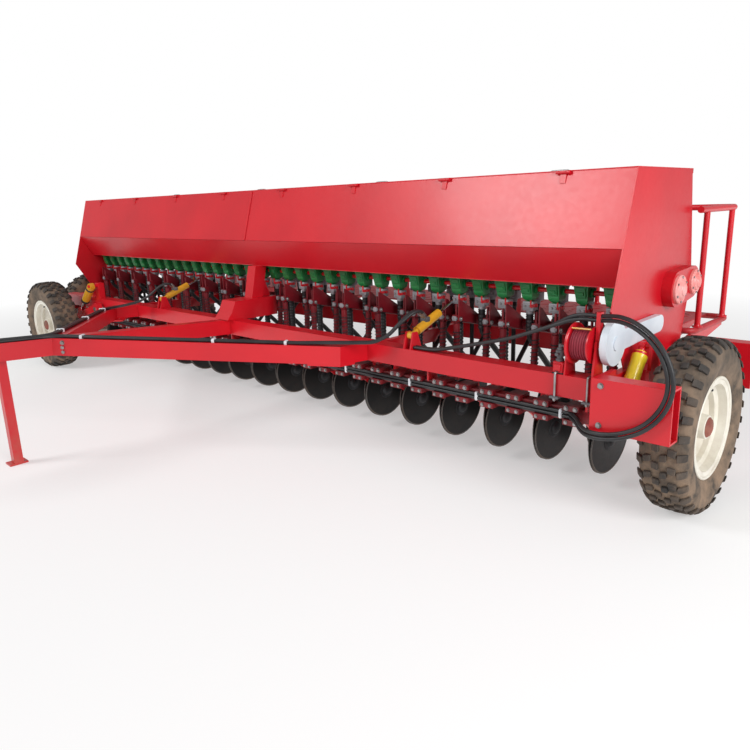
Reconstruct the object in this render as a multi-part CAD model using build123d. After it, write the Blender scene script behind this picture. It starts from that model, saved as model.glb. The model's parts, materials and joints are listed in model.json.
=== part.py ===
from build123d import *
import math
import os

# Trailed 36-row disc grain drill, real size in millimetres.
# X runs across the machine (+X is its right end), +Y points rearwards,
# the drawbar points to -Y and +Z is up. While it is drawn, Y = 0 is the land
# wheels' axle and Z = 0 the ground. On export everything moves along Y by
# Y_SHIFT, so that the origin is at the middle of the footprint.

# Rows: even numbers are the rear rank, odd ones the front rank
ROWS = 36
ROW_PITCH = 150.0
ROW_X = [(i - (ROWS - 1) / 2) * ROW_PITCH for i in range(ROWS)]
FRONT_ROWS = ROW_X[1::2]
REAR_ROWS = ROW_X[0::2]

# Sheets and small clearances
GAP = 0.2
HOPPER_SHEET = 4.0
END_SHEET = 6.0
LID_SHEET = 5.7
BEAM_WALL = 6.0

# Widths, built up from the rows outwards
HOPPER_MARGIN = 43.0
BEAM_MARGIN = 27.0
HOPPER_HALF = ROWS * ROW_PITCH / 2 + HOPPER_MARGIN
BEAM_HALF = HOPPER_HALF + BEAM_MARGIN
INSIDE = HOPPER_HALF - END_SHEET

# Frame beams and heights, built up from the frame
BEAM = 100.0
FRONT_BEAM_Y = -360.0
REAR_BEAM_Y = 480.0
BEAM_Z = 595.0
BEAM_TOP = BEAM_Z + BEAM / 2
BEAM_FACE = FRONT_BEAM_Y - BEAM / 2
RAIL_W = 40.0
RAIL_H = 80.0
RAIL_TOP = BEAM_Z + RAIL_H / 2

# Rockshaft and the meters above it
ROCK_R = 30.0
ROCK_Y = 75.0
ROCK_RISE = 155.0
ROCK = (ROCK_Y, BEAM_Z + ROCK_RISE)
METER_RISE = 139.0
METER_H = 106.8
METER_Y = 8.0
FERT_Y = 335.0
METER_FOOT = ROCK[1] + METER_RISE
METER_TOP = METER_FOOT + METER_H
BIN_Z = METER_TOP + GAP + HOPPER_SHEET

# Hopper outline
FOLD_RISE = 180.0
PANEL_RISE = 340.0
HOPPER_TOP_Z = BIN_Z + FOLD_RISE + PANEL_RISE
LID_FRONT_Y = -104.0
LID_REAR_Y = 540.0
WALL_TOP = HOPPER_TOP_Z - LID_SHEET - 0.3
FOLD = (-205.0, BIN_Z + FOLD_RISE)
SEED_BIN_Y = (METER_Y - 108.0, METER_Y + 102.0)
FERT_BIN_Y = (FERT_Y - 105.0, FERT_Y + 105.0)
REAR_FOLD = (600.0, BIN_Z + 220.0)
DIVIDER_PEAK = (170.0, BIN_Z + 130.0)

# Drawbar
ARM_X = 1350.0
ARM_W = 80.0
ARM_H = 100.0
KINK_Y = -618.0
APEX_Y = -1480.0
HITCH_Y = -2560.0
DRAWBAR_RISE = 3.3
RISE = math.radians(DRAWBAR_RISE)
HITCH_EYE_R = 18.0
HITCH_PLATE = 25.0
HITCH_GAP = 60.0
FORK_W = HITCH_EYE_R * 2.4

# Wheels
TYRE_R = 398.0
TYRE_W = 210.0
LUG_H = 14.0
RIM_R = 228.0
SEAT_R = 204.0
WELL_R = 180.0
HUB_R = 58.0
SPINDLE_R = 25.0
SPINDLE_FIT = 0.08
LEG_OUT = 86.0
LEG_T = 16.0
WHEEL_REACH = 168.0
LAND_X = BEAM_HALF + LEG_OUT + WHEEL_REACH
TRANSPORT_X = -2520.0
TRANSPORT_FRONT_Y = FRONT_BEAM_Y - 300.0
TRANSPORT_REAR_Y = REAR_BEAM_Y + 300.0

# Gang bar, openers and pressure rods
GANG = 60.0
GANG_Y = FRONT_BEAM_Y + 30.0
GANG_Z = BEAM_Z - 140.0
PIVOT = (GANG_Y + 60.0, GANG_Z - 15.0)
DISC_R = 175.0
DISC_T = 4.0
DISC_SIDE = 21.0
DISC_TOE = 5.5
DISC_NIP = 30.0
HUB_Z = 240.0
FRONT_HUB = (PIVOT[0] + 270.0, HUB_Z)
REAR_HUB = (PIVOT[0] + 550.0, HUB_Z)
BOOT_TOP = 90.0
ROD_X = 55.0
ROD_BLOCK = 34.0
LEVER_GAP = 4.0
LEVER_T = 7.0
LEVER_IN = ROD_X + ROD_BLOCK / 2 + LEVER_GAP
LEVER_OUT = LEVER_IN + LEVER_T
FRONT_LEVER = (ROCK[0] - 170.0, ROCK[1] + 25.0)
REAR_LEVER = (ROCK[0] - 95.0, ROCK[1] + 10.0)
FRONT_FOOT = (PIVOT[0] + 176.0, PIVOT[1])
REAR_FOOT = (PIVOT[0] + 230.0, PIVOT[1])
HOSE_R = 16.0
FERT_HOSE_R = 13.0

# Lift cylinders, each in the lane between a row's lever and the next row's tube
CRANK_LEN = 125.0
CRANK_DEG = 115.0
LIFT_R = 24.0
LIFT_X = [ROW_X[12] - LEVER_OUT - 5.0 - LIFT_R, ROW_X[28] + LEVER_OUT + 5.0 + LIFT_R]
CYL_LUG = (FRONT_BEAM_Y - 10.0, BEAM_Z + 120.0)

# Side rails: two under the hopper's ends, two in lanes that the openers leave free
RAIL_LANE = (LEVER_OUT + ROW_PITCH - HOSE_R) / 2
RAIL_X = [-HOPPER_HALF + END_SHEET / 2, ROW_X[9] - RAIL_LANE, ROW_X[26] + RAIL_LANE, HOPPER_HALF - END_SHEET / 2]

# Rear footboard and handrail
STEP_Z = BEAM_Z + 115.0
STEP_Y = (REAR_BEAM_Y + 160.0, REAR_BEAM_Y + 720.0)
STEP_LEFT = -2050.0
STEP_T = 6.0
EDGE_TUBE = 17.0
RAIL_TUBE = 17.0
RAIL_TOP_Z = STEP_Z + 610.0

Y_FRONT = BEAM_FACE + (HITCH_Y - FORK_W - BEAM_FACE) * math.cos(RISE) - (HITCH_GAP / 2 + HITCH_PLATE) * math.sin(RISE)
Y_REAR = STEP_Y[1]
Y_SHIFT = -(Y_FRONT + Y_REAR) / 2


def block(x0, x1, y0, y1, z0, z1):
    return Pos((x0 + x1) / 2, (y0 + y1) / 2, (z0 + z1) / 2) * Box(abs(x1 - x0), abs(y1 - y0), abs(z1 - z0))


def side_plate(points, x0, x1):
    # A flat plate whose outline (y, z) lies in the YZ plane.
    wire = Polyline(*[(x0, y, z) for y, z in points], close=True)
    return extrude(make_face(wire), amount=x1 - x0, dir=(1, 0, 0))


def sweep_to(sketch, line):
    return extrude(sketch, amount=line.length, dir=tuple(line.normalized()))


def rod(p, q, radius):
    # A round bar from point p to point q.
    line = Vector(*q) - Vector(*p)
    return sweep_to(Plane(origin=p, z_dir=line) * Circle(radius), line)


def cross_rod(x0, x1, point, radius):
    # A round bar along X through the (y, z) point.
    return rod((x0, *point), (x1, *point), radius)


def bar(p, q, width, height, up=(0, 0, 1), wall=0.0):
    # A rectangular bar or tube from p to q; width is measured square to `up`.
    line = Vector(*q) - Vector(*p)
    plane = Plane(origin=p, x_dir=line.cross(Vector(*up)), z_dir=line)
    solid = sweep_to(plane * Rectangle(width, height), line)
    if wall:
        solid -= sweep_to(plane * Rectangle(width - 2 * wall, height - 2 * wall), line)
    return solid


def turned(points):
    # A solid turned about the X axis from an outline of (x, radius) points.
    wire = Polyline(*[(x, 0, r) for x, r in points], close=True)
    return revolve(make_face(wire), Axis.X, 360)


def stadium(a, b, ra, rb, x0, x1):
    # A plate whose outline wraps a circle of radius ra at a and one of rb at b, both (y, z).
    line = Vector(b[0] - a[0], b[1] - a[1], 0)
    turn = math.degrees(math.atan2(line.Y, line.X))
    lean = math.acos((ra - rb) / line.length)
    c, s = math.cos(lean), math.sin(lean)
    flat = make_face(Polyline((ra * c, ra * s), (line.length + rb * c, rb * s), (line.length + rb * c, -rb * s),
                              (ra * c, -ra * s), close=True))
    flat = flat + Circle(ra) + Pos(line.length, 0) * Circle(rb)
    plane = Plane(origin=(x0, *a), x_dir=(0, 1, 0), z_dir=(1, 0, 0))
    return extrude(plane * (Rot(Z=turn) * flat), amount=x1 - x0, dir=(1, 0, 0))


def hose(points, radius, largest=100000.0):
    # A hose through the points, each arc as large as its runs allow, up to `largest`.
    spots = [Vector(*p) for p in points]
    radii = []
    for before, spot, after in zip(spots, spots[1:], spots[2:]):
        turn = math.radians((spot - before).get_angle(after - spot))
        radii.append(min(largest, 0.45 * min((spot - before).length, (after - spot).length) / math.tan(turn / 2)))
    path = FilletPolyline(*points, radius=radii)
    print("hose", round(path.length), "mm long, smallest radius", round(min(radii)))
    return sweep(Plane(origin=points[0], z_dir=spots[1] - spots[0]) * Circle(radius), path=path)


def beside(points, offset):
    # The same route moved sideways in plan, to its left where the offset is positive.
    moved = []
    for i, (x, y, z) in enumerate(points):
        before, after = points[max(i - 1, 0)], points[min(i + 1, len(points) - 1)]
        dx, dy = after[0] - before[0], after[1] - before[1]
        run = math.hypot(dx, dy)
        moved.append((x - dy / run * offset, y + dx / run * offset, z))
    return moved


NODES = {}


def node(name, solids):
    items = solids if isinstance(solids, list) else [solids]
    NODES[name] = NODES.get(name, []) + items


# Hopper: folded sheet walls, two bins below and two lids
def wall(a, b, thick, x0, x1):
    # A sheet between outline points a and b; its thickness lies on the left of a to b.
    dy, dz = b[0] - a[0], b[1] - a[1]
    run = math.hypot(dy, dz)
    ny, nz = -dz / run * thick, dy / run * thick
    return side_plate([a, b, (b[0] + ny, b[1] + nz), (a[0] + ny, a[1] + nz)], x0, x1)


END_FOOT_FRONT = (-286.0, BIN_Z - 80.0)
END_FOOT_REAR = (648.0, BIN_Z - 27.0)
node("hopper_front_upper", wall((LID_FRONT_Y, WALL_TOP), FOLD, HOPPER_SHEET, -INSIDE, INSIDE))
node("hopper_front_lower", wall((FOLD[0] + 4, FOLD[1] - 2), (SEED_BIN_Y[0], BIN_Z), HOPPER_SHEET, -INSIDE, INSIDE))
node("hopper_floor", [block(-INSIDE, INSIDE, y0, y1, BIN_Z - HOPPER_SHEET, BIN_Z - GAP) for y0, y1 in (SEED_BIN_Y, FERT_BIN_Y)])
node("hopper_divider", [
    wall((DIVIDER_PEAK[0] - 2, DIVIDER_PEAK[1]), (SEED_BIN_Y[1], BIN_Z), HOPPER_SHEET, -INSIDE, INSIDE),
    wall((FERT_BIN_Y[0], BIN_Z), (DIVIDER_PEAK[0] + 2, DIVIDER_PEAK[1]), HOPPER_SHEET, -INSIDE, INSIDE),
    block(-INSIDE, INSIDE, DIVIDER_PEAK[0] - 2, DIVIDER_PEAK[0] + 2, DIVIDER_PEAK[1] + 2, HOPPER_TOP_Z - 60)])
node("hopper_rear_lower", wall((FERT_BIN_Y[1], BIN_Z), (REAR_FOLD[0] - 3, REAR_FOLD[1] - 3), HOPPER_SHEET, -INSIDE, INSIDE))
node("hopper_rear_upper", wall(REAR_FOLD, (LID_REAR_Y, WALL_TOP), HOPPER_SHEET, -INSIDE, INSIDE))
END_OUTLINE = [(LID_FRONT_Y, WALL_TOP), FOLD, END_FOOT_FRONT, (-120.0, RAIL_TOP + GAP),
               (REAR_BEAM_Y - BEAM / 2 - GAP, RAIL_TOP + GAP), (REAR_BEAM_Y - BEAM / 2 - GAP, BEAM_TOP + GAP),
               (REAR_BEAM_Y + 80, BEAM_TOP + GAP), END_FOOT_REAR, REAR_FOLD, (LID_REAR_Y, WALL_TOP)]
SHAFT_R = 12.0
SEED_SHAFT = (METER_Y + 8, METER_FOOT + 62)
FERT_SHAFT = (FERT_Y, METER_FOOT + 62)
for s in (-1, 1):
    end = side_plate(END_OUTLINE, s * INSIDE, s * HOPPER_HALF)
    node("hopper_ends", end - cross_rod(s * (INSIDE - 1), s * (HOPPER_HALF + 1), FERT_SHAFT, SHAFT_R + 0.3))

# Lids turn on hinge pins in knuckles along the hopper's front top edge
HINGE_R = 8.0
HINGE_PIN_R = 4.0
HINGE = (LID_FRONT_Y - 12.0, HOPPER_TOP_Z - HINGE_R)
HINGE_W = 30.0
HINGES = 4
LIP = 24.0
WALL_SLOPE = (FOLD[0] - LID_FRONT_Y) / (FOLD[1] - WALL_TOP)


def front_face(z):
    # Where the hopper's upper front sheet has its outer face, seen from the side.
    return LID_FRONT_Y + WALL_SLOPE * (z - WALL_TOP)


def knuckle_strap(x):
    # The fixed knuckle at x, on a strap that lies on the hopper's front sheet.
    foot, head = WALL_TOP - 50, WALL_TOP - 6
    strap = side_plate([(HINGE[0] - HINGE_R, HINGE[1]), (HINGE[0] - 4, HINGE[1]), (front_face(head) - GAP, head),
                        (front_face(foot) - GAP, foot), (front_face(foot) - 4, foot), (front_face(head) - 8, head - 4)],
                       x - HINGE_W / 2, x + HINGE_W / 2)
    strap += cross_rod(x - HINGE_W / 2, x + HINGE_W / 2, HINGE, HINGE_R)
    return strap - cross_rod(x - HINGE_W, x + HINGE_W, HINGE, HINGE_PIN_R + 0.3)


for name, s in (("lid_left", -1), ("lid_right", 1)):
    lid = block(s * 3.0, s * HOPPER_HALF, LID_FRONT_Y, LID_REAR_Y + 10, HOPPER_TOP_Z - LID_SHEET, HOPPER_TOP_Z)
    lid += block(s * 3.0, s * HOPPER_HALF, LID_REAR_Y + 6, LID_REAR_Y + 10, HOPPER_TOP_Z - LIP, HOPPER_TOP_Z)
    for i in range(HINGES):
        x = s * (3.0 + (HOPPER_HALF - 3.0) * (i + 0.5) / HINGES)
        for side in (-1, 1):
            x0, x1 = x + side * (HINGE_W / 2 + 0.5), x + side * (HINGE_W / 2 + 20)
            lid += cross_rod(x0, x1, HINGE, HINGE_R)
            lid += block(x0, x1, HINGE[0], LID_FRONT_Y, HOPPER_TOP_Z - LID_SHEET, HOPPER_TOP_Z)
        lid += cross_rod(x - HINGE_W / 2 - 1, x + HINGE_W / 2 + 1, HINGE, HINGE_PIN_R)
        node("hopper_front_upper", knuckle_strap(x))
    node(name, lid)

# Frame tubes
ARM_PIVOT = (-1980.0, BEAM_Z - 35.0)
ARM_PIN_R = 20.0
ARM_OUT = 45.0
for name, y in (("front_beam", FRONT_BEAM_Y), ("rear_beam", REAR_BEAM_Y)):
    node(name, bar((-BEAM_HALF, y, BEAM_Z), (BEAM_HALF, y, BEAM_Z), BEAM, BEAM, wall=BEAM_WALL))
RAIL_FRONT = FRONT_BEAM_Y + BEAM / 2
RAIL_REAR = REAR_BEAM_Y - BEAM / 2
node("side_rails", [bar((x, RAIL_FRONT, BEAM_Z), (x, RAIL_REAR, BEAM_Z), RAIL_W, RAIL_H, wall=BEAM_WALL) for x in RAIL_X])


# Hopper carriers stand on the beams
def rear_wall_z(y):
    # Height of the hopper's lower rear wall, seen from outside.
    run = (y - FERT_BIN_Y[1]) / (REAR_FOLD[0] - FERT_BIN_Y[1])
    return BIN_Z + run * (REAR_FOLD[1] - BIN_Z)


CARRIER_T = 8.0
CARRIER_Y = (REAR_BEAM_Y - 35.0, REAR_BEAM_Y + 45.0)
for row in (5, 11, 17, 23, 29):
    x = (ROW_X[row] + ROW_X[row + 1]) / 2
    leg = side_plate([(CARRIER_Y[0], BEAM_TOP), (CARRIER_Y[1], BEAM_TOP), (CARRIER_Y[1], rear_wall_z(CARRIER_Y[1]) - 0.3),
                      (CARRIER_Y[0], rear_wall_z(CARRIER_Y[0]) - 0.3)], x - CARRIER_T / 2, x + CARRIER_T / 2)
    node("rear_brackets", leg)
POST_W = 90.0
MEMBER_W = 160.0
MEMBER_TOP = BEAM_TOP + 129.0
BACK = FRONT_BEAM_Y + BEAM / 2 + GAP
post = side_plate([(SEED_BIN_Y[0] - 105, MEMBER_TOP), (SEED_BIN_Y[0] - 10, MEMBER_TOP), (SEED_BIN_Y[0] + 40, BIN_Z - HOPPER_SHEET),
                   (SEED_BIN_Y[0] - 54, BIN_Z - HOPPER_SHEET)], -POST_W / 2, POST_W / 2)
post += side_plate([(SEED_BIN_Y[0] - 10, MEMBER_TOP), (METER_Y - 24, MEMBER_TOP), (METER_Y - 28, MEMBER_TOP + 26),
                    (METER_Y - 68, METER_FOOT + 11), (METER_Y - 78, METER_FOOT + 66)], -5, 5)
member = side_plate([(BEAM_FACE - 40, BEAM_TOP + 6), (FRONT_BEAM_Y - 48, BEAM_TOP + 55), (FRONT_BEAM_Y - 13, MEMBER_TOP),
                     (METER_Y - 24, MEMBER_TOP), (METER_Y - 24, BEAM_TOP - 5), (BACK, BEAM_TOP - 5), (BACK, BEAM_TOP),
                     (FRONT_BEAM_Y - 48, BEAM_TOP), (FRONT_BEAM_Y - 52, BEAM_TOP + 6)], -MEMBER_W / 2, MEMBER_W / 2)
node("centre_member", member + post)

# Drawbar: two kinked arms, a centre beam and the tongue, drawn level and then pitched up
PITCH = Pos(0, BEAM_FACE, BEAM_Z) * Rot(X=-DRAWBAR_RISE) * Pos(0, -BEAM_FACE, -BEAM_Z)
BEHIND_FACE = block(-3000, 3000, BEAM_FACE, 0, 0, 1000)


def pitched(solid):
    return PITCH * solid - BEHIND_FACE


def pitched_z(y, above=0.0):
    # Height of the drawbar's middle line at y, or of a line above it.
    return BEAM_Z + (BEAM_FACE - y) * math.tan(RISE) + above


def flat_plate(points, z0, z1):
    return extrude(make_face(Polyline(*[(x, y, z0) for x, y in points], close=True)), amount=z1 - z0, dir=(0, 0, 1))


for name, s in (("drawbar_left_arm", -1), ("drawbar_right_arm", 1)):
    outer, inner = s * (ARM_X + ARM_W / 2), s * (ARM_X - ARM_W / 2)
    root = s * (ARM_W / 2 + 0.3)
    outline = [(outer, BEAM_FACE + 5), (outer, KINK_Y), (root, APEX_Y - 130), (root, APEX_Y - 20), (inner, KINK_Y + 30),
               (inner, BEAM_FACE + 5)]
    arm = flat_plate(outline, BEAM_Z - ARM_H / 2, BEAM_Z + ARM_H / 2)
    gusset = [(outer, KINK_Y + 110), (outer, KINK_Y), (outer - s * 150, KINK_Y - 107), (inner - s * 130, KINK_Y + 10), (inner, KINK_Y + 110)]
    arm += flat_plate(gusset, BEAM_Z - ARM_H / 2 - 10, BEAM_Z - ARM_H / 2)
    node(name, pitched(arm))
node("drawbar_centre", pitched(bar((0, BEAM_FACE + 5, BEAM_Z), (0, APEX_Y + 100, BEAM_Z), ARM_W, ARM_H, wall=BEAM_WALL)))
TONGUE_WALL = 8.0
JOINT_Y = -2090.0
tongue = bar((0, APEX_Y + 99.7, BEAM_Z), (0, HITCH_Y + 140, BEAM_Z), ARM_W, ARM_H, wall=TONGUE_WALL)
tongue += block(-ARM_W / 2, ARM_W / 2 + 20, JOINT_Y - 15, JOINT_Y + 15, BEAM_Z - ARM_H / 2 - 20, BEAM_Z + ARM_H / 2)
fork = block(-FORK_W, FORK_W, HITCH_Y, HITCH_Y + 140, BEAM_Z - HITCH_GAP / 2 - HITCH_PLATE, BEAM_Z + HITCH_GAP / 2 + HITCH_PLATE)
fork += Pos(0, HITCH_Y, BEAM_Z) * Cylinder(FORK_W, HITCH_GAP + 2 * HITCH_PLATE)
fork -= block(-60, 60, HITCH_Y - 60, HITCH_Y + 110, BEAM_Z - HITCH_GAP / 2, BEAM_Z + HITCH_GAP / 2)
fork -= Pos(0, HITCH_Y, BEAM_Z) * Cylinder(HITCH_EYE_R, 300)

# Parking jack on a pin through the tongue's left side
JACK_Y = -1860.0
JACK_TUBE = 50.0
JACK_X = -ARM_W / 2 - JACK_TUBE / 2 - 5.0
JACK_PIVOT_Z = pitched_z(JACK_Y)
JACK_PIN_R = 12.0
leg = bar((JACK_X, JACK_Y, 10), (JACK_X, JACK_Y, JACK_PIVOT_Z + 40), JACK_TUBE, JACK_TUBE, up=(0, 1, 0), wall=5)
leg += block(JACK_X - 50, JACK_X + JACK_TUBE / 2, JACK_Y - 50, JACK_Y + 50, 0, 10)
leg -= cross_rod(JACK_X - 60, JACK_X + 60, (JACK_Y, JACK_PIVOT_Z), JACK_PIN_R + 0.3)
node("jack_leg", leg)
node("pivot_pins", cross_rod(-ARM_W / 2 - 0.05, JACK_X - JACK_TUBE / 2 - 8, (JACK_Y, JACK_PIVOT_Z), JACK_PIN_R))
node("tongue", pitched(tongue + fork))

# Tow sockets for end-wise transport
SOCKET_LEN = 310.0
SOCKET_W = 80.0
SOCKET_WALL = 8.0
SOCKET_X = (BEAM_HALF + 20.0, BEAM_HALF + 20.0 + SOCKET_LEN)
SOCKET_Z = (BEAM_Z - 140.0, BEAM_Z + 85.0)
for beam_y, s in ((FRONT_BEAM_Y, -1), (REAR_BEAM_Y, 1)):
    y0, y1 = sorted((beam_y + s * 60.0, beam_y + s * (60.0 + SOCKET_W)))
    socket = block(*SOCKET_X, y0, y1, *SOCKET_Z)
    socket -= block(SOCKET_X[0] - 1, SOCKET_X[1] + 1, y0 + SOCKET_WALL, y1 - SOCKET_WALL, SOCKET_Z[0] + SOCKET_WALL,
                    SOCKET_Z[1] - SOCKET_WALL)
    socket += block(BEAM_HALF, SOCKET_X[0], min(y0, beam_y - BEAM / 2), max(y1, beam_y + BEAM / 2), *SOCKET_Z)
    node("tow_sockets", socket)

# Wheels: tyre with block lugs, dished rim and hub, drawn about the X axis
CARCASS_R = TYRE_R - LUG_H
HALF_W = TYRE_W / 2


def tyre():
    side = [(-64, SEAT_R + 0.4), (-71.5, SEAT_R + 2), (-75, RIM_R + 1), (-92, 262), (-HALF_W, 300), (-HALF_W + 7, 345),
            (-72, CARCASS_R - 4), (-50, CARCASS_R)]
    ring = turned(side + [(-x, r) for x, r in reversed(side)])
    lugs = []
    count = 20
    for i in range(count):
        for s, shift in ((-1, 0.0), (1, 0.5)):
            lug = block(s * 8, s * (HALF_W - 10), -24, 24, CARCASS_R - 22, TYRE_R - 1.2)
            lug = Rot(Z=s * 18) * lug
            lugs.append(Rot(X=(i + shift) * 360 / count) * lug)
    limit = turned([(-HALF_W, 340), (-HALF_W, 366), (-60, TYRE_R), (60, TYRE_R), (HALF_W, 366), (HALF_W, 340)])
    lugs = [(lug & limit) for lug in lugs]
    return ring + lugs


def rim():
    outline = [(-82, RIM_R), (-76, RIM_R), (-72, SEAT_R), (-40, SEAT_R - 2), (-28, WELL_R), (28, WELL_R), (40, SEAT_R - 2),
               (72, SEAT_R), (76, RIM_R), (82, RIM_R), (79, SEAT_R - 6), (42, SEAT_R - 9), (32, WELL_R - 6), (8, WELL_R - 6),
               (-18, 130), (-24, HUB_R + 30), (-24, HUB_R), (60, HUB_R - 8), (60, 0), (50, 0), (50, SPINDLE_R + SPINDLE_FIT),
               (-70, SPINDLE_R + SPINDLE_FIT), (-70, HUB_R), (-32, HUB_R), (-32, HUB_R + 32), (-26, 132),
               (-2, WELL_R - 6), (-32, WELL_R - 6), (-42, SEAT_R - 9), (-79, SEAT_R - 6)]
    return turned(outline)


TYRE = tyre()
RIM = rim()
WHEELS = [
    # name, x, y, turn about Z (degrees) that takes the wheel's outer face to where it looks
    ("land_right", LAND_X, 0.0, 0.0),
    ("land_left", -LAND_X, 0.0, 180.0),
    ("transport_front", TRANSPORT_X, TRANSPORT_FRONT_Y, -90.0),
    ("transport_rear", TRANSPORT_X, TRANSPORT_REAR_Y, 90.0),
]
PLACES = {}
for name, x, y, turn in WHEELS:
    PLACES[name] = Pos(x, y, TYRE_R) * Rot(Z=turn)
    node("tyre_" + name, PLACES[name] * TYRE)
    node("rim_" + name, PLACES[name] * RIM)


def spindle(name, reach):
    # A stub axle from `reach` behind the wheel's middle to just short of the hub's cap.
    return PLACES[name] * rod((-reach, 0, 0), (48, 0, 0), SPINDLE_R)


# Land wheel carriers
LEG_X = (BEAM_HALF + LEG_OUT - LEG_T, BEAM_HALF + LEG_OUT)
RAIL_OUT = RAIL_X[-1] + RAIL_W / 2
for name, s in (("land_right", 1), ("land_left", -1)):
    leg = side_plate([(-60, TYRE_R - 53), (60, TYRE_R - 53), (120, BEAM_Z + 45), (-120, BEAM_Z + 45)], s * LEG_X[0], s * LEG_X[1])
    link = block(s * (RAIL_OUT + GAP), s * LEG_X[0], -60, 60, BEAM_Z - 35, BEAM_Z + 35)
    node("land_axles", spindle(name, WHEEL_REACH) + leg + link)

# A short cylinder at each end, between a lug on the side rail and one on the land wheel's carrier
TRIM_R = 32.0
TRIM_PIN_R = 10.0
TRIM_EYE = 12.0
TRIM_X = LEG_X[0] - TRIM_R - 4.0
TRIM_TOP = (-75.0, BEAM_Z + 150.0)
TRIM_FOOT = (-205.0, BEAM_Z - 30.0)
trim_run = math.hypot(TRIM_TOP[0] - TRIM_FOOT[0], TRIM_TOP[1] - TRIM_FOOT[1])
trim_y, trim_z = (TRIM_TOP[0] - TRIM_FOOT[0]) / trim_run, (TRIM_TOP[1] - TRIM_FOOT[1]) / trim_run
for s in (-1, 1):
    def on_trim(t):
        return (s * TRIM_X, TRIM_FOOT[0] + trim_y * t, TRIM_FOOT[1] + trim_z * t)

    case = rod(on_trim(42), on_trim(trim_run - 38), TRIM_R) + rod(on_trim(10), on_trim(trim_run - 10), 15)
    for eye in (TRIM_FOOT, TRIM_TOP):
        case += cross_rod(s * (TRIM_X - TRIM_EYE), s * (TRIM_X + TRIM_EYE), eye, 20)
    for eye in (TRIM_FOOT, TRIM_TOP):
        case -= cross_rod(s * (TRIM_X - 60), s * (TRIM_X + 60), eye, TRIM_PIN_R + 0.3)
    node("cylinder_lugs", case)
    lug = block(s * (RAIL_OUT + GAP), s * (RAIL_OUT + 8), TRIM_FOOT[0] - 30, TRIM_FOOT[0] + 30, TRIM_FOOT[1] - 30, TRIM_FOOT[1] + 30)
    lug += cross_rod(s * (RAIL_OUT + 7), s * (TRIM_X + TRIM_EYE + 4), TRIM_FOOT, TRIM_PIN_R)
    node("land_axles", lug)
    ear = side_plate([(-100, BEAM_Z + 44), (-10, BEAM_Z + 44), (TRIM_TOP[0] + 20, TRIM_TOP[1] + 20), (TRIM_TOP[0] - 20, TRIM_TOP[1] + 20)],
                     s * LEG_X[0], s * LEG_X[1])
    NODES["land_axles"][0 if s == 1 else 1] += ear + cross_rod(s * LEG_X[1], s * (TRIM_X - TRIM_EYE - 4), TRIM_TOP, TRIM_PIN_R)

# Transport wheel arms hang from the beams' left ends, each held by a cylinder
ARM_T = 50.0
ARM_EYE = (ARM_PIVOT[0] - 336.8, ARM_PIVOT[1] - 25.8)
CYL_TOP = (ARM_PIVOT[0] - 70.0, ARM_PIVOT[1] + 200.0)
CYL_BARREL_R = 35.0
CYL_ROD_R = 14.0
for name, y_beam, s, y_wheel in (("front", FRONT_BEAM_Y, -1, TRANSPORT_FRONT_Y), ("rear", REAR_BEAM_Y, 1, TRANSPORT_REAR_Y)):
    face = y_beam + s * BEAM / 2
    y_arm = face + s * ARM_OUT
    turn = Rot(X=90)
    swing = bar((ARM_PIVOT[0], y_arm, ARM_PIVOT[1]), (TRANSPORT_X, y_arm, TYRE_R), ARM_T, 90)
    swing += Pos(ARM_PIVOT[0], y_arm, ARM_PIVOT[1]) * turn * Cylinder(55, ARM_T)
    swing += Pos(TRANSPORT_X, y_arm, TYRE_R) * turn * Cylinder(50, ARM_T)
    swing += spindle("transport_" + name, abs(y_wheel - y_arm))
    swing -= Pos(ARM_PIVOT[0], y_arm, ARM_PIVOT[1]) * turn * Cylinder(ARM_PIN_R + 0.3, 200)
    for side in (-1, 1):
        swing += Pos(0, y_arm + side * 24, 0) * extrude(make_face(Polyline(
            (ARM_EYE[0] - 40, -4, ARM_EYE[1] - 40), (ARM_EYE[0] + 40, -4, ARM_EYE[1] - 10),
            (ARM_EYE[0] + 18, -4, ARM_EYE[1] + 18), (ARM_EYE[0] - 18, -4, ARM_EYE[1] + 18), close=True)), amount=8, dir=(0, 1, 0))
    node("transport_arm_" + name, swing)
    node("pivot_pins", rod((ARM_PIVOT[0], face + s * 0.05, ARM_PIVOT[1]), (ARM_PIVOT[0], y_arm + s * 32, ARM_PIVOT[1]), ARM_PIN_R))
    run = math.hypot(ARM_EYE[0] - CYL_TOP[0], ARM_EYE[1] - CYL_TOP[1])
    ux, uz = (ARM_EYE[0] - CYL_TOP[0]) / run, (ARM_EYE[1] - CYL_TOP[1]) / run

    def stroke(t):
        return (CYL_TOP[0] + ux * t, y_arm, CYL_TOP[1] + uz * t)

    barrel = rod(stroke(0), stroke(225), CYL_BARREL_R) - rod(stroke(45), stroke(230), CYL_ROD_R + 0.3)
    barrel += Pos(*stroke(0)) * turn * Cylinder(28, 36)
    barrel -= Pos(*stroke(0)) * turn * Cylinder(14.3, 100)
    node("transport_barrel_" + name, barrel)
    piston = rod(stroke(142), stroke(run - 10), CYL_ROD_R) + Pos(*stroke(run)) * turn * Cylinder(18, 30)
    piston -= Pos(*stroke(run)) * turn * Cylinder(10, 60)
    node("transport_rod_" + name, piston)
    bracket = block(CYL_TOP[0] - 30, CYL_TOP[0] + 50, face, y_beam, BEAM_TOP, CYL_TOP[1] + 25)
    bracket += rod((CYL_TOP[0], face, CYL_TOP[1]), (CYL_TOP[0], y_arm + s * 28, CYL_TOP[1]), 14)
    node("cylinder_lugs", bracket)

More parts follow.
